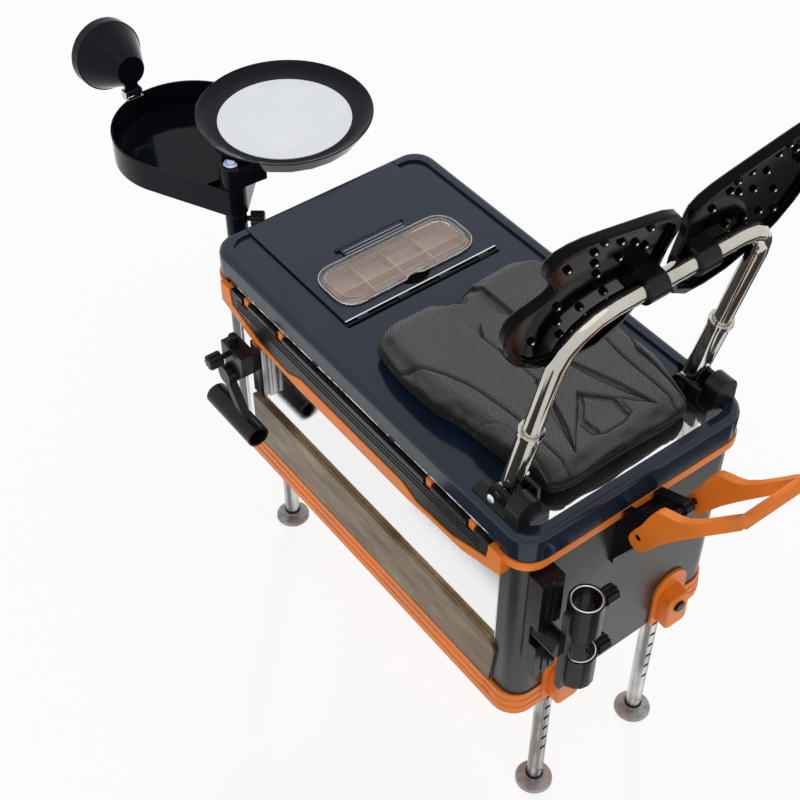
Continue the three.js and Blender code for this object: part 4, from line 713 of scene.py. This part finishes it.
leg_x, leg_y = 94, 297.35
foot_places = {
    f"{end_name}_{side_name}": (side * leg_x, end * leg_y)
    for end, end_name in ((-1, "rear"), (1, "front"))
    for side, side_name in ((-1, "left"), (1, "right"))
}
cup_at = Vector((-80, 676, 386)) * mm
tilt = math.radians(-5)
yaw = math.radians(2)
cup_axis = Vector((-math.sin(yaw) * math.cos(tilt), math.cos(yaw) * math.cos(tilt), math.sin(tilt)))
cup_turn = (Matrix.Translation(cup_at) @ cup_axis.to_track_quat("Z", "Y").to_matrix().to_4x4()).inverted()

umbrella_x, umbrella_y = -114, -362
ring_axis = upright_axis(47, 468)
foot_chords, foot_smallest = 12, 0.016
turned = {
    "lower_dish": (upright_axis(-52, 577), 24),
    "ring_tray": (ring_axis, 24),
    "ring_disc": (ring_axis, 24),
    "bait_cup": (cup_turn, 16),
    "umbrella_arm": (upright_axis(umbrella_x, umbrella_y), 16),
}
for foot_name, (x, y) in foot_places.items():
    turned[foot_name + "_foot"] = (upright_axis(x, y), foot_chords, foot_smallest)
print("turned pieces", sorted(turned))

# %% [markdown]
# ### Finished copies
# The record gives each piece a slot, and most pieces take the finish of their slot. A few have a finish of their
# own. The window is wider in the photograph than in the solid, so the copies round it have their ends moved apart.

# %% Finished copies of the hard pieces
special = {
    "tackle_tray": finish["tray"],
    "rod_rest_rail": finish["alloy"],
    "tray_bolt": finish["bolt"],
    "hatch_hinge_rod": finish["black"],
    "left_back_pad": finish["pad"],
    "right_back_pad": finish["pad"],
}
for name in ("lower_dish", "ring_tray", "bait_cup", "tray_post", "tray_bracket"):
    special[name] = finish["gloss"]
for foot_name in foot_places:
    special[foot_name + "_foot"] = finish["turned"]
soft_nodes = ("seat_cushion",)
window_nodes = ("window_cover", "tackle_tray", "hatch_panel")
window_reach, window_rear, window_front = 103 * mm, 100 * mm, 187 * mm


def widen_window(form):
    """Moves the two ends of the window's outline apart, as wide as the photograph shows them."""
    widened, start, blend = 7.0 * mm, 60 * mm, 20 * mm
    for vert in form.verts:
        reach = abs(vert.co.x)
        if reach < window_reach and window_rear < vert.co.y < window_front:
            vert.co.x += math.copysign(widened * min(1.0, max(0.0, (reach - start) / blend)), vert.co.x)


def dress(node, material=None, turning=None):
    """A finished copy that stands for a solid. turning is the axis and number of chords of a turned piece."""
    slot = slot_of_node[node]
    form = joined_copy(node)
    if node in window_nodes:
        widen_window(form)
    if turning:
        print(node, "chords made finer", round_off(form, *turning))
    piece = settle(form, node + "_finished", material or finish[slot], body_of_node[node])
    even = piece.modifiers.new("even_shading", "WEIGHTED_NORMAL")
    even.keep_sharp = True
    even.weight = 100
    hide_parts(node)
    return piece


dressed = {}
for name in sorted(nodes):
    if name not in soft_nodes:
        dressed[name] = dress(name, special.get(name), turned.get(name))
print("finished copies", len(dressed))

# %% [markdown]
# Two pieces have a part in a second finish. The tab of the window cover is the lid's navy, and a black band runs
# along the hatch hinge. Both are picked out by where their faces lie.

# %% Tab and hinge band
tab_start = 184.5 * mm
band_rear, band_front, band_half = 79.5 * mm, 87.3 * mm, 122 * mm


def second_finish(node, material, belongs):
    """Gives the faces whose corners all belong a second material."""
    data = dressed[node].data
    data.materials.append(material)
    for polygon in data.polygons:
        if belongs(polygon, [data.vertices[index].co for index in polygon.vertices]):
            polygon.material_index = 1


def on_tab(polygon, corners):
    """Whether a face lies on the tab of the window cover."""
    return polygon.center.y > tab_start


def in_band(polygon, corners):
    """Whether a face lies in the dark band along the hatch hinge."""
    return all(band_rear < corner.y < band_front and abs(corner.x) < band_half for corner in corners)


second_finish("window_cover", finish["lid"], on_tab)
for name in ("lid_shell", "hatch_panel"):
    second_finish(name, finish["black"], in_band)
print("tab and hinge band picked out")

# %% [markdown]
# ## Seat cushion
# The cushion is foam under a knitted spacer mesh, sewn in panels. Foam under cloth is crowned and pulls in at its
# seams. The solid gives the outline. A copy, a little smaller, is remeshed and blown up as cloth for a few frames,
# which rounds it the way stuffing does. The seams come after, because a remesh would wipe them out.

# %% Knitted spacer mesh
weave, weave_in, weave_out = make_group(
    "spacer_mesh",
    [
        ("Color", "Color", (0.06, 0.06, 0.06, 1)),
        ("Hole Color", "Color", (0.01, 0.01, 0.01, 1)),
        ("Pitch", "Float", 0.003),
    ],
    [("Color", "Color"), ("Height", "Float")],
)
x, y, z = own_axes(weave)
across = math_of(weave, "ADD", x, math_of(weave, "MULTIPLY", z, 0.5))
along = math_of(weave, "ADD", y, z)
turns = math_of(weave, "DIVIDE", 2 * math.pi, weave_in["Pitch"])
columns = math_of(weave, "COSINE", math_of(weave, "MULTIPLY", across, turns))
rows = math_of(weave, "COSINE", math_of(weave, "MULTIPLY", along, turns))
knots = math_of(weave, "MULTIPLY_ADD", math_of(weave, "MULTIPLY", columns, rows), 0.5, 0.5)
knots = step_mask(weave, knots, 0.4, 0.5)
threads = math_of(weave, "MULTIPLY", noise_of(weave, 2500.0, 2.0), 0.25)
fibre = math_of(weave, "ADD", knots, threads, clamp=True)
tone = mix_colour(weave, fibre, weave_in["Hole Color"], weave_in["Color"])
join(weave, weave_out, Color=tone, Height=fibre)

thread_grey, hole_grey, worn_grey = (0.15, 0.15, 0.147, 1), (0.004, 0.004, 0.004, 1), (0.03, 0.03, 0.031, 1)
# The darkest grey is used both for the seam lines and for painted shade on steep flanks and panel walls.
seam_and_shade_grey = (0.0025, 0.0025, 0.0025, 1)
pitch = 0.0034
finish["fabric"], tree, inputs = start_material(
    "knitted_mesh", Roughness=0.7, Sheen_Weight=0.04, Sheen_Roughness=0.4, Specular_IOR_Level=0.16
)
knit = shader_of(tree, "Group", node_tree=weave, Color=thread_grey, Hole_Color=hole_grey, Pitch=pitch)
seam_and_shade = shader_of(tree, "Attribute", attribute_name="seam_and_shade")
worn = math_of(tree, "MULTIPLY", noise_of(tree, 22.0, 3.0), 0.3)
tone = mix_colour(tree, worn, knit.outputs["Color"], worn_grey)
# The attribute darkens the cloth along the seams and also gives painted shade on the steep sides and panel walls.
tone = mix_colour(tree, seam_and_shade.outputs["Fac"], tone, seam_and_shade_grey)
join(tree, inputs, Base_Color=tone, Normal=relief_of(tree, knit.outputs["Height"], 0.0007))
print("weave pitch", pitch / mm, "mm")

# %% Blown up cushion
cushion_low, cushion_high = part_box("seat_cushion")
voxel = 0.0034
frames = 20
pressure = 4.0
rise_limit = 0.006
start_shares = (0.985, 0.985, 0.96, 1)


def rows_of(data, name):
    """Places or normals of a mesh's corners as rows."""
    values = np.empty(len(data.vertices) * 3)
    data.vertices.foreach_get(name, values)
    return values.reshape(-1, 3)


def evaluated_mesh(piece):
    """The mesh of an object with its modifiers, which are then taken off."""
    data = bpy.data.meshes.new_from_object(piece.evaluated_get(bpy.context.evaluated_depsgraph_get()))
    piece.modifiers.clear()
    piece.data = data
    return data


def blow_up(piece, last_frame):
    """Lets a closed mesh swell as cloth, without gravity, and keeps the result."""
    cloth = piece.modifiers.new("cloth", "CLOTH")
    cloth.settings.use_pressure = True
    cloth.settings.uniform_pressure_force = pressure
    cloth.settings.effector_weights.gravity = 0.0
    cloth.settings.quality = 5
    cloth.collision_settings.use_collision = False
    cloth.point_cache.frame_start = 1
    cloth.point_cache.frame_end = last_frame
    for number in range(1, last_frame + 1):
        scene.frame_set(number)
    after = rows_of(piece.evaluated_get(bpy.context.evaluated_depsgraph_get()).data, "co")
    piece.modifiers.remove(cloth)
    scene.frame_set(1)
    return after


form = joined_copy("seat_cushion")
bmesh.ops.recalc_face_normals(form, faces=form.faces)
data = bpy.data.meshes.new("seat_cushion_soft")
form.to_mesh(data)
form.free()
pad = bpy.data.objects.new("seat_cushion_soft", data)
scene.collection.objects.link(pad)
middle = (cushion_low + cushion_high) / 2
pad.data.transform(Matrix.Translation(middle) @ Matrix.Diagonal(start_shares) @ Matrix.Translation(-middle))
remesh = pad.modifiers.new("even_mesh", "REMESH")
remesh.mode = "VOXEL"
remesh.voxel_size = voxel
data = evaluated_mesh(pad)

before = rows_of(data, "co")
moved = blow_up(pad, frames) - before
length = np.linalg.norm(moved, axis=1, keepdims=True)
placed = before + moved * np.minimum(1, rise_limit / np.maximum(length, 1e-9))
placed[:, 2] = np.maximum(placed[:, 2], cushion_low.z)
print("cushion points", len(placed), "largest move", round(float(length.max()) / mm, 1), "mm")

# %% [markdown]
# The solid's top has channels, and the next step cuts a finer relief in their place. The top is therefore first laid
# on one smooth crown. The crown is a low polynomial fitted through the middle of the top, and the rim blends into it.

# %% Smooth crown
rim_from, rim_to = 9 * mm, 22 * mm
lane_step, lane_half = 0.004, 0.003
slices = np.arange(-0.31, 0.05, lane_step)
half_width = np.array([np.abs(placed[np.abs(placed[:, 1] - y) < lane_half, 0]).max(initial=0) for y in slices])
lanes = np.arange(0, 0.15, lane_step)
near_lane = [np.abs(np.abs(placed[:, 0]) - x) < lane_half for x in lanes]
front_end = np.array([placed[lane, 1].max(initial=-1) for lane in near_lane])
rear_end = np.array([placed[lane, 1].min(initial=1) for lane in near_lane])
from_side = np.interp(placed[:, 1], slices, half_width) - np.abs(placed[:, 0])
from_front = np.interp(np.abs(placed[:, 0]), lanes, front_end) - placed[:, 1]
from_rear = placed[:, 1] - np.interp(np.abs(placed[:, 0]), lanes, rear_end)
depth_in = np.minimum(np.minimum(from_side, from_front), from_rear)
on_top = placed[:, 2] > middle.z
inner = on_top & (depth_in > rim_to)


def crown_terms(rows):
    """The terms of the crown's polynomial: even across the seat, free along it."""
    x, y = rows[:, 0], rows[:, 1]
    return np.column_stack([np.ones(len(rows)), y, x**2, y**2, y**3, x**4])


def smooth_step(share):
    """A share from 0 to 1 that starts and ends gently."""
    share = np.clip(share, 0, 1)
    return share * share * (3 - 2 * share)


crown = np.linalg.lstsq(crown_terms(placed[inner]), placed[inner, 2], rcond=None)[0]
blend = np.where(on_top, smooth_step((depth_in - rim_from) / (rim_to - rim_from)), 0)
placed[:, 2] += blend * (crown_terms(placed) @ crown - placed[:, 2])
print("crown terms", crown.round(3))

# %% [markdown]
# The sides still carry the steps of the remesh, so each corner is moved towards the mean of its neighbours and back
# again, many times. This evens the small lumps without shrinking the pad. The photograph also shows a fuller rear
# edge and thigh lobes that reach further to the front than the solid's. Both are small stretches of the outline.

# %% Even sides and fuller outline
towards_mean, back_out = 0.5, -0.51
evening_turns = 60
front_reach = 1.3
rear_fullness = (
    (-0.15, 1.0), (-0.18, 1.02), (-0.21, 1.05), (-0.24, 1.035), (-0.26, 1.07), (-0.28, 1.16), (-0.296, 1.28),
)
ends = np.empty(len(data.edges) * 2, dtype=np.int64)
data.edges.foreach_get("vertices", ends)
one, other = ends.reshape(-1, 2).T
neighbours = np.bincount(np.concatenate((one, other)), minlength=len(placed))[:, None]
even_out = np.where(on_top, 1 - blend, 1.0)[:, None]
for turn in range(evening_turns):
    around = np.column_stack(
        [
            np.bincount(one, placed[other, axis], len(placed)) + np.bincount(other, placed[one, axis], len(placed))
            for axis in range(3)
        ]
    )
    placed += (towards_mean, back_out)[turn % 2] * even_out * (around / neighbours - placed)

stations = np.array([station for station, _ in reversed(rear_fullness)])
shares = np.array([share for _, share in reversed(rear_fullness)])
placed[:, 0] *= np.interp(placed[:, 1], stations, shares, right=1.0)
placed[:, 1] = np.where(placed[:, 1] > 0, placed[:, 1] * front_reach, placed[:, 1])
data.vertices.foreach_set("co", placed.ravel())
data.update()
print("cushion outline", placed.min(axis=0).round(4), placed.max(axis=0).round(4))

# %% [markdown]
# ## Panels and seams
# The top is a relief of sewn panels. Between the two thigh lobes runs a lower strip, the middle panel starts with a
# peak, and from there a V and a small shield run to the rear. Each panel is an outline on the left half, in
# millimetres, with a height and the width of its sloping edge. Each seam is a route with a width and a depth. The
# right half mirrors both.

# %% Panels and routes
panels = {
    "strip": ([(-40, 60), (28, 60), (28, 30), (28, -66), (17, -46), (0, -39), (-40, -39)], -7.5, 4.0),
    "vee_slot": ([(22, -160), (28, -160), (50, -222), (61, -266), (45, -236), (31, -196)], -4.0, 4.0),
    "shield_slot": (
        [(0, -201), (10, -214), (28, -234), (25, -262), (20, -262), (22, -238), (6, -220), (0, -210)], -4.0, 3.5
    ),
    "ridge": ([(128, -163), (114, -174), (102, -192), (102, -247), (106, -300), (150, -300), (150, -163)], 5.5, 4.5),
    "ridge_slope": ([(134, -163), (122, -196), (121, -247), (123, -300), (160, -300), (160, -163)], -7.0, 16.0),
}
seams = {
    "lobe": ([(29, -60), (28, -96), (25, -130), (24, -160)], 1.8, 2.4),
    "bolster": (
        [(140, -36), (119, -64), (104, -90), (94, -115), (89, -136), (85, -163), (82, -190), (82, -292)], 2.2, 3.4
    ),
    "vee": ([(24, -160), (33, -196), (47, -230), (62, -268)], 1.6, 2.6),
    "shield_arm": ([(0, -203), (31, -235), (62, -268)], 1.5, 2.2),
    "shield_foot": ([(31, -244), (30, -261), (15, -267), (0, -267)], 2.2, 1.8),
    "ridge_foot": ([(128, -163), (114, -174), (102, -192), (102, -247), (106, -290)], 2.0, 3.0),
}


def mirrored_places(points):
    """Top views of points with the right half folded onto the left, in millimetres."""
    return np.column_stack([np.abs(points[:, 0]), points[:, 1]]) / mm


def distance_to_route(places, route):
    """The distance of each place to the nearest stretch of a route, in millimetres."""
    nearest = np.full(len(places), 1000.0)
    for start, end in zip(route[:-1], route[1:]):
        start = np.array(start, float)
        step = np.array(end, float) - start
        share = np.clip(((places - start) @ step) / (step @ step), 0, 1)
        nearest = np.minimum(nearest, np.linalg.norm(places - start - share[:, None] * step, axis=1))
    return nearest


def inside_outline(places, outline):
    """Whether each place lies within a closed outline, by counting the edges to its right."""
    within = np.zeros(len(places), bool)
    for (ax, ay), (bx, by) in zip(outline, outline[1:] + outline[:1]):
        crosses = (ay > places[:, 1]) != (by > places[:, 1])
        if ay != by:
            within ^= crosses & (places[:, 0] < ax + (places[:, 1] - ay) * (bx - ax) / (by - ay))
    return within


def panel_height(places, outline, height, width):
    """The height that a panel gives each place, with a sloping edge of the given width."""
    distance = distance_to_route(places, outline + outline[:1])
    signed = np.where(inside_outline(places, outline), distance, -distance)
    return height * smooth_step(signed / width + 0.5)


print("panels", sorted(panels), "seams", sorted(seams))

# %% Relief of the top
finer = pad.modifiers.new("finer", "SUBSURF")
finer.levels = 1
finer.render_levels = 1
data = evaluated_mesh(pad)
data.name = "seat_cushion_soft"
steep_width = 8
seam_level, piping_half, piping_depth = 0.45, 0.0018, 0.002
points = rows_of(data, "co")
normals = rows_of(data, "normal")
places = mirrored_places(points)
upper = np.clip((normals[:, 2] - 0.05) / 0.3, 0, 1)
rise = np.zeros(len(points))
slope = np.zeros(len(points))
for outline, height, width in panels.values():
    lift = panel_height(places, outline, height, width)
    rise += lift
    if width < steep_width:
        slope = np.maximum(slope, 4 * (lift / height) * (1 - lift / height))
sink = np.zeros(len(points))
dark = np.zeros(len(points))
for route, width, depth in seams.values():
    distance = distance_to_route(places, route)
    sink = np.maximum(sink, depth * np.exp(-((distance / width) ** 2)))
    dark = np.maximum(dark, np.exp(-((distance / (0.5 * width)) ** 2)))
points[:, 2] += (rise - sink) * mm * upper
side_seam = cushion_low.z + seam_level * (cushion_high.z - cushion_low.z)
upright = 1 - np.clip(np.abs(normals[:, 2]) * 1.6, 0, 1)
piping = np.exp(-(((points[:, 2] - side_seam) / piping_half) ** 2)) * upright
points -= normals * (piping_depth * piping)[:, None]
points[:, 2] = np.maximum(points[:, 2], cushion_low.z)
data.vertices.foreach_set("co", points.ravel())
data.update()
print("relief from", round(float(rise.min()), 1), "to", round(float(rise.max()), 1), "mm")

# %% [markdown]
# The steep sides of the cushion and the walls of its sewn panels get painted shade: the cloth is darkened there as if
# light hardly reached it. The seams themselves are darker lines. How steep the surface is, and how near a seam, is
# kept as an attribute, and the cloth goes dark by it.

# %% Painted shade on flanks and walls, dark seams
flank_start, flank_span = 0.25, 0.4
flank_shade, slope_shade, piping_shade = 0.96, 0.85, 0.95
steep = 1 - np.clip(rows_of(data, "normal")[:, 2], 0, 1)
# Painted shade: steep surfaces are darkened by their steepness, and panel walls by their slope.
flank = np.clip((steep - flank_start) / flank_span, 0, 1) * flank_shade
shade = np.maximum(np.maximum(dark, slope_shade * slope) * upper, flank)
shade = np.clip(np.maximum(shade, piping_shade * piping), 0, 1)
seam_and_flank_shade = data.attributes.new("seam_and_shade", "FLOAT", "POINT")
seam_and_flank_shade.data.foreach_set("value", shade.astype(np.float32))
for polygon in data.polygons:
    polygon.use_smooth = True
data.materials.clear()
data.materials.append(finish["fabric"])
data.update()
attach(pad, "lid")
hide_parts("seat_cushion")
print("cushion faces", len(data.polygons), "mean shade", round(float(shade.mean()), 3))

# %% [markdown]
# ## Small fittings
# Screws, rims and trim lines are too small for the solid model, but the eye looks for them. Several of the pale ones
# are painted highlight and one dark disc is painted shade, as told below. Each is turned from a short profile or bent
# from a thin wire, and rides on the body that carries it.


def close_up(form):
    """Joins what coincides and turns all faces outwards."""
    bmesh.ops.remove_doubles(form, verts=form.verts, dist=join_distance)
    bmesh.ops.recalc_face_normals(form, faces=form.faces)


def lathe(name, profile, place, axis, look, body, steps=32):
    """A turned piece: the profile is (radius, height) in millimetres along the axis from the place."""
    form = bmesh.new()
    verts = [form.verts.new((radius * mm, 0, height * mm)) for radius, height in profile]
    lines = [form.edges.new(pair) for pair in zip(verts, verts[1:])]
    bmesh.ops.spin(
        form, geom=verts + lines, cent=(0, 0, 0), axis=(0, 0, 1), angle=2 * math.pi, steps=steps, use_duplicate=False
    )
    close_up(form)
    form.transform(Matrix.Translation(place) @ Vector(axis).to_track_quat("Z", "Y").to_matrix().to_4x4())
    return settle(form, name, finish[look], body)


def wire(name, places, radius, look, body, closed=True):
    """A thin round wire along places in metres, made from a curve and kept as a mesh."""
    curve = bpy.data.curves.new(name, "CURVE")
    curve.dimensions = "3D"
    curve.bevel_depth = radius * mm
    curve.bevel_resolution = 2
    curve.use_fill_caps = not closed
    path = curve.splines.new("POLY")
    path.points.add(len(places) - 1)
    for point, place in zip(path.points, places):
        point.co = (*place, 1)
    path.use_cyclic_u = closed
    guide = bpy.data.objects.new(name + "_guide", curve)
    scene.collection.objects.link(guide)
    evaluated = guide.evaluated_get(bpy.context.evaluated_depsgraph_get())
    form = bmesh.new()
    form.from_mesh(evaluated.to_mesh())
    bpy.data.objects.remove(guide)
    close_up(form)
    return settle(form, name, finish[look], body)


def plank(name, low, high, look, body, soften):
    """A small block between two corners in millimetres, with its edges softened."""
    form = bmesh.new()
    low, high = Vector(low) * mm, Vector(high) * mm
    bmesh.ops.create_cube(form, size=1)
    bmesh.ops.scale(form, verts=form.verts, vec=high - low)
    bmesh.ops.translate(form, verts=form.verts, vec=(low + high) / 2)
    bmesh.ops.bevel(
        form, geom=form.edges[:], offset=soften * mm, segments=2, profile=0.5, affect="EDGES", material=-1
    )
    return settle(form, name, finish[look], body)


def surface_at(node, start, direction):
    """Where a line in millimetres meets a solid, and the solid's outward direction there."""
    form = bmesh.new()
    form.from_mesh(nodes[node].data)
    hit, normal, _, _ = BVHTree.FromBMesh(form).ray_cast(Vector(start) * mm, Vector(direction).normalized())
    form.free()
    if hit is None:
        raise ValueError("no surface of " + node + " on the line")
    return hit, normal


# Pale metal for screws and buttons, and for the strips and rings that are painted highlight.
finish["screw"] = metal_material("pale_screw", (0.86, 0.86, 0.88), (0.66, 0.66, 0.68), 0.26, 0.2)
# A pale grey plastic for the trim lines of the window, pale as painted highlight.
finish["pale_trim_highlight"] = plastic_material(
    "pale_trim_highlight_plastic", (0.52, 0.54, 0.57), (0.85, 0.86, 0.88), 0.2, wear=0.4, grain=0.000004
)[0]
# A near-black finish without gloss for the painted shade in the hatch's finger recess.
finish["painted_recess_shade"] = plastic_material(
    "painted_recess_shade", (0.0015, 0.0015, 0.002), (0.01, 0.01, 0.01), 0.6, wear=0.0, Specular_IOR_Level=0.02
)[0]
print("tools and finishes of small fittings")

# %% [markdown]
# ### Hatch and window
# A pale strip along the hatch at its hinge is painted highlight of the hatch's edge. A pale bead runs round the
# window cover on its raised rim, a thinner pale line runs round its dome, and three pale ribs stiffen the cover's
# tab: all of them are pale as painted highlight. A thin dark disc in the hatch, where the cover is scooped out, is
# painted shade of the finger recess.


# %% Trim and painted highlights of the window
def rounded_loop(half_x, low_y, high_y, corner, z, steps=6):
    """A closed loop of places round a rectangle with round corners, all given in millimetres."""
    loop = []
    corners = ((1, 1, 0), (-1, 1, 90), (-1, -1, 180), (1, -1, 270))
    for side_x, side_y, start in corners:
        centre_x = side_x * (half_x - corner)
        centre_y = (high_y - corner) if side_y > 0 else (low_y + corner)
        for step in range(steps + 1):
            turn = math.radians(start + 90 * step / steps)
            loop.append(Vector((centre_x + corner * math.cos(turn), centre_y + corner * math.sin(turn), z)) * mm)
    return loop


cover_half, cover_rear, cover_front, cover_corner, cover_top = 108, 103, 184, 28, 352.9
scoop_y, scoop_radius, scoop_steps = 86, 22, 12
bead_radius, dome_bead_radius, rib_radius = 0.75, 0.35, 0.6
dome_inset, dome_top = 9, 355.1
rib_half, rib_top = 47.5, 353.3
outline = rounded_loop(cover_half, cover_rear, cover_front, cover_corner, cover_top)
scoop_turn = math.asin((cover_rear - scoop_y) / scoop_radius)
scoop_line = []
for step in range(scoop_steps + 1):
    turn = math.pi - scoop_turn - (math.pi - 2 * scoop_turn) * step / scoop_steps
    scoop_line.append(
        Vector((scoop_radius * math.cos(turn), scoop_y + scoop_radius * math.sin(turn), cover_top)) * mm
    )
last_left = len(outline) * 3 // 4
loop = outline[:last_left] + scoop_line + outline[last_left:]
# The bead is the cover's raised rim, pale as painted highlight of the rim; the line round the dome is painted
# highlight only.
wire("window_rim_highlight_bead", loop, bead_radius, "pale_trim_highlight", "window")
dome = rounded_loop(
    cover_half - dome_inset, cover_rear + dome_inset, cover_front - dome_inset, cover_corner - dome_inset, dome_top
)
wire("window_dome_highlight", dome, dome_bead_radius, "pale_trim_highlight", "window")
# The three tab ribs are ribs of the cover, pale as painted highlight of their bright lines.
for number, y in enumerate((188.5, 194.5, 203.5)):
    rib = [Vector((x, y, rib_top)) * mm for x in (-rib_half, rib_half)]
    wire(f"window_tab_rib_{number + 1}", rib, rib_radius, "pale_trim_highlight", "window", closed=False)
print("window bead with", len(loop), "places")

# %% Painted highlight and painted shade on the hatch
hatch_top, strip_soften = 350.12, 0.3
strip_low, strip_high = (-121, 86.9, 349.7), (121, 89.0, hatch_top)
shade_disc_radius, shade_disc_thick = 27, 0.15
shade_disc_centre = Vector((1, 117.5, hatch_top))
cut_line = Vector((0, 108, 0)) * mm
# A pale metal strip along the hinge edge of the hatch is painted highlight of that edge.
plank("hatch_edge_highlight_strip", strip_low, strip_high, "screw", "hatch", strip_soften)

# A thin near-black disc, cut straight on its hinge side, lies on the hatch: painted shade where the finger recess is.
form = bmesh.new()
bmesh.ops.create_circle(form, cap_ends=True, segments=48, radius=shade_disc_radius * mm)
bmesh.ops.translate(form, verts=form.verts, vec=shade_disc_centre * mm)
bmesh.ops.bisect_plane(
    form, geom=form.verts[:] + form.edges[:] + form.faces[:], plane_co=cut_line, plane_no=(0, 1, 0), clear_outer=True
)
bmesh.ops.recalc_face_normals(form, faces=form.faces)
shade_disc_top = bmesh.ops.extrude_face_region(form, geom=form.faces[:])["geom"]
shade_disc_rim = [item for item in shade_disc_top if isinstance(item, bmesh.types.BMVert)]
bmesh.ops.translate(form, verts=shade_disc_rim, vec=(0, 0, shade_disc_thick * mm))
bmesh.ops.recalc_face_normals(form, faces=form.faces)
settle(form, "hatch_recess_painted_shade", finish["painted_recess_shade"], "hatch")
print("hatch trimmed")

# %% [markdown]
# ### Backrest and bosses
# The back shells of the pads carry screw bosses where the padding is held. The places on the left pad were read from
# the photograph and the right pad mirrors them. Each boss is set on the real surface of the solid pad. The pale screw
# in each boss is partly the real screw and partly painted glint, the small bright mark each boss shows.

# %% Screw bosses of the back pads
boss_places = (
    (-150, 730), (-121, 738), (-114, 718), (-105, 697), (-120, 756), (-80, 706), (-86, 732), (-63, 717), (-45, 702),
    (-57, 739), (-83, 657), (-146, 674), (-112, 652), (-138, 646), (-127, 619), (-166, 633),
)
boss_profile = ((2.3, 0.3), (2.3, 3.2), (2.9, 3.5), (4.0, 3.2), (4.6, -0.4))
boss_screw_profile = ((0, 4.2), (0.8, 4.0), (1.5, 3.3), (1.6, -0.2))
boss_steps, boss_screw_steps = 14, 10
behind_pads = -400
for side, pad_name in ((1, "left_back_pad"), (-1, "right_back_pad")):
    body = body_of_node[pad_name]
    for number, (x, z) in enumerate(boss_places):
        spot, normal = surface_at(pad_name, (side * x, behind_pads, z), (0, 1, 0))
        label = f"{pad_name}_boss_{number + 1}"
        lathe(label, boss_profile, spot, normal, "pad", body, boss_steps)
        lathe(label + "_screw", boss_screw_profile, spot, normal, "screw", body, boss_screw_steps)
print("bosses on each pad", len(boss_places))

# %% [markdown]
# ### Screws, rings and the bolt cap
# Pale screw heads close the hinge pins of the backrest, a small button sits on each sleeve, bright rings on the
# umbrella collars give painted highlight of their top edges, a dark ring marks each ankle, and the tray bolt has a
# blued cap on its washer.

# %% Screws, rings and bolt cap
screw_profile = ((0, 1.6), (3.0, 1.5), (5.0, 0.9), (5.8, 0), (5.8, -0.5))
button_profile = ((0, 2.0), (1.6, 1.8), (2.6, 1.0), (2.8, -0.6))
pin_x, pin_y, pin_z = 168, -250, 364
for side, side_name in ((-1, "left"), (1, "right")):
    place = Vector((side * pin_x, pin_y, pin_z)) * mm
    lathe(f"{side_name}_hinge_screw", screw_profile, place, (side, 0, 0), "screw", "lid")
    sleeve = side_name + "_backrest_sleeve"
    body = body_of_node[sleeve]
    spot, normal = surface_at(sleeve, (side * 120, -300, 405), (side * 0.5, 0.85, 0))
    lathe(f"{side_name}_sleeve_button", button_profile, spot, normal, "screw", body, 20)

upwards = (0, 0, 1)
# Pale rings on the top edges of the umbrella collars are painted highlight of those edges.
collar_profile = ((17.4, -0.4), (17.4, 0.5), (18.4, 0.9), (19.6, 0.5), (19.6, -0.4), (17.4, -0.4))
for collar_name, collar_top in (("upper", 257), ("lower", 159)):
    place = Vector((umbrella_x, umbrella_y, collar_top)) * mm
    label = f"{collar_name}_collar_highlight_ring"
    lathe(label, collar_profile, place, upwards, "screw", "umbrella_clamp", 48)

ankle_profile = ((11.25, 0), (12.6, 0.3), (12.6, 3.2), (11.25, 3.6))
ankle_z = -235
for leg, (x, y) in foot_places.items():
    place = Vector((x, y, ankle_z)) * mm
    body = body_of_node[leg + "_leg"]
    lathe(f"{leg}_ankle_ring", ankle_profile, place, upwards, "black", body, 40)

cap_profile = ((0, 1.4), (5.6, 1.3), (6.6, 0.8), (7.0, -0.1))
groove_profile = ((7.0, 0.05), (7.9, 0.12), (7.9, -0.1))
cap_place = Vector((-75, 418, 376)) * mm
body = body_of_node["tray_bolt"]
lathe("tray_bolt_cap", cap_profile, cap_place, upwards, "bolt", body)
lathe("tray_bolt_groove", groove_profile, cap_place, upwards, "black", body)
print("small fittings done")
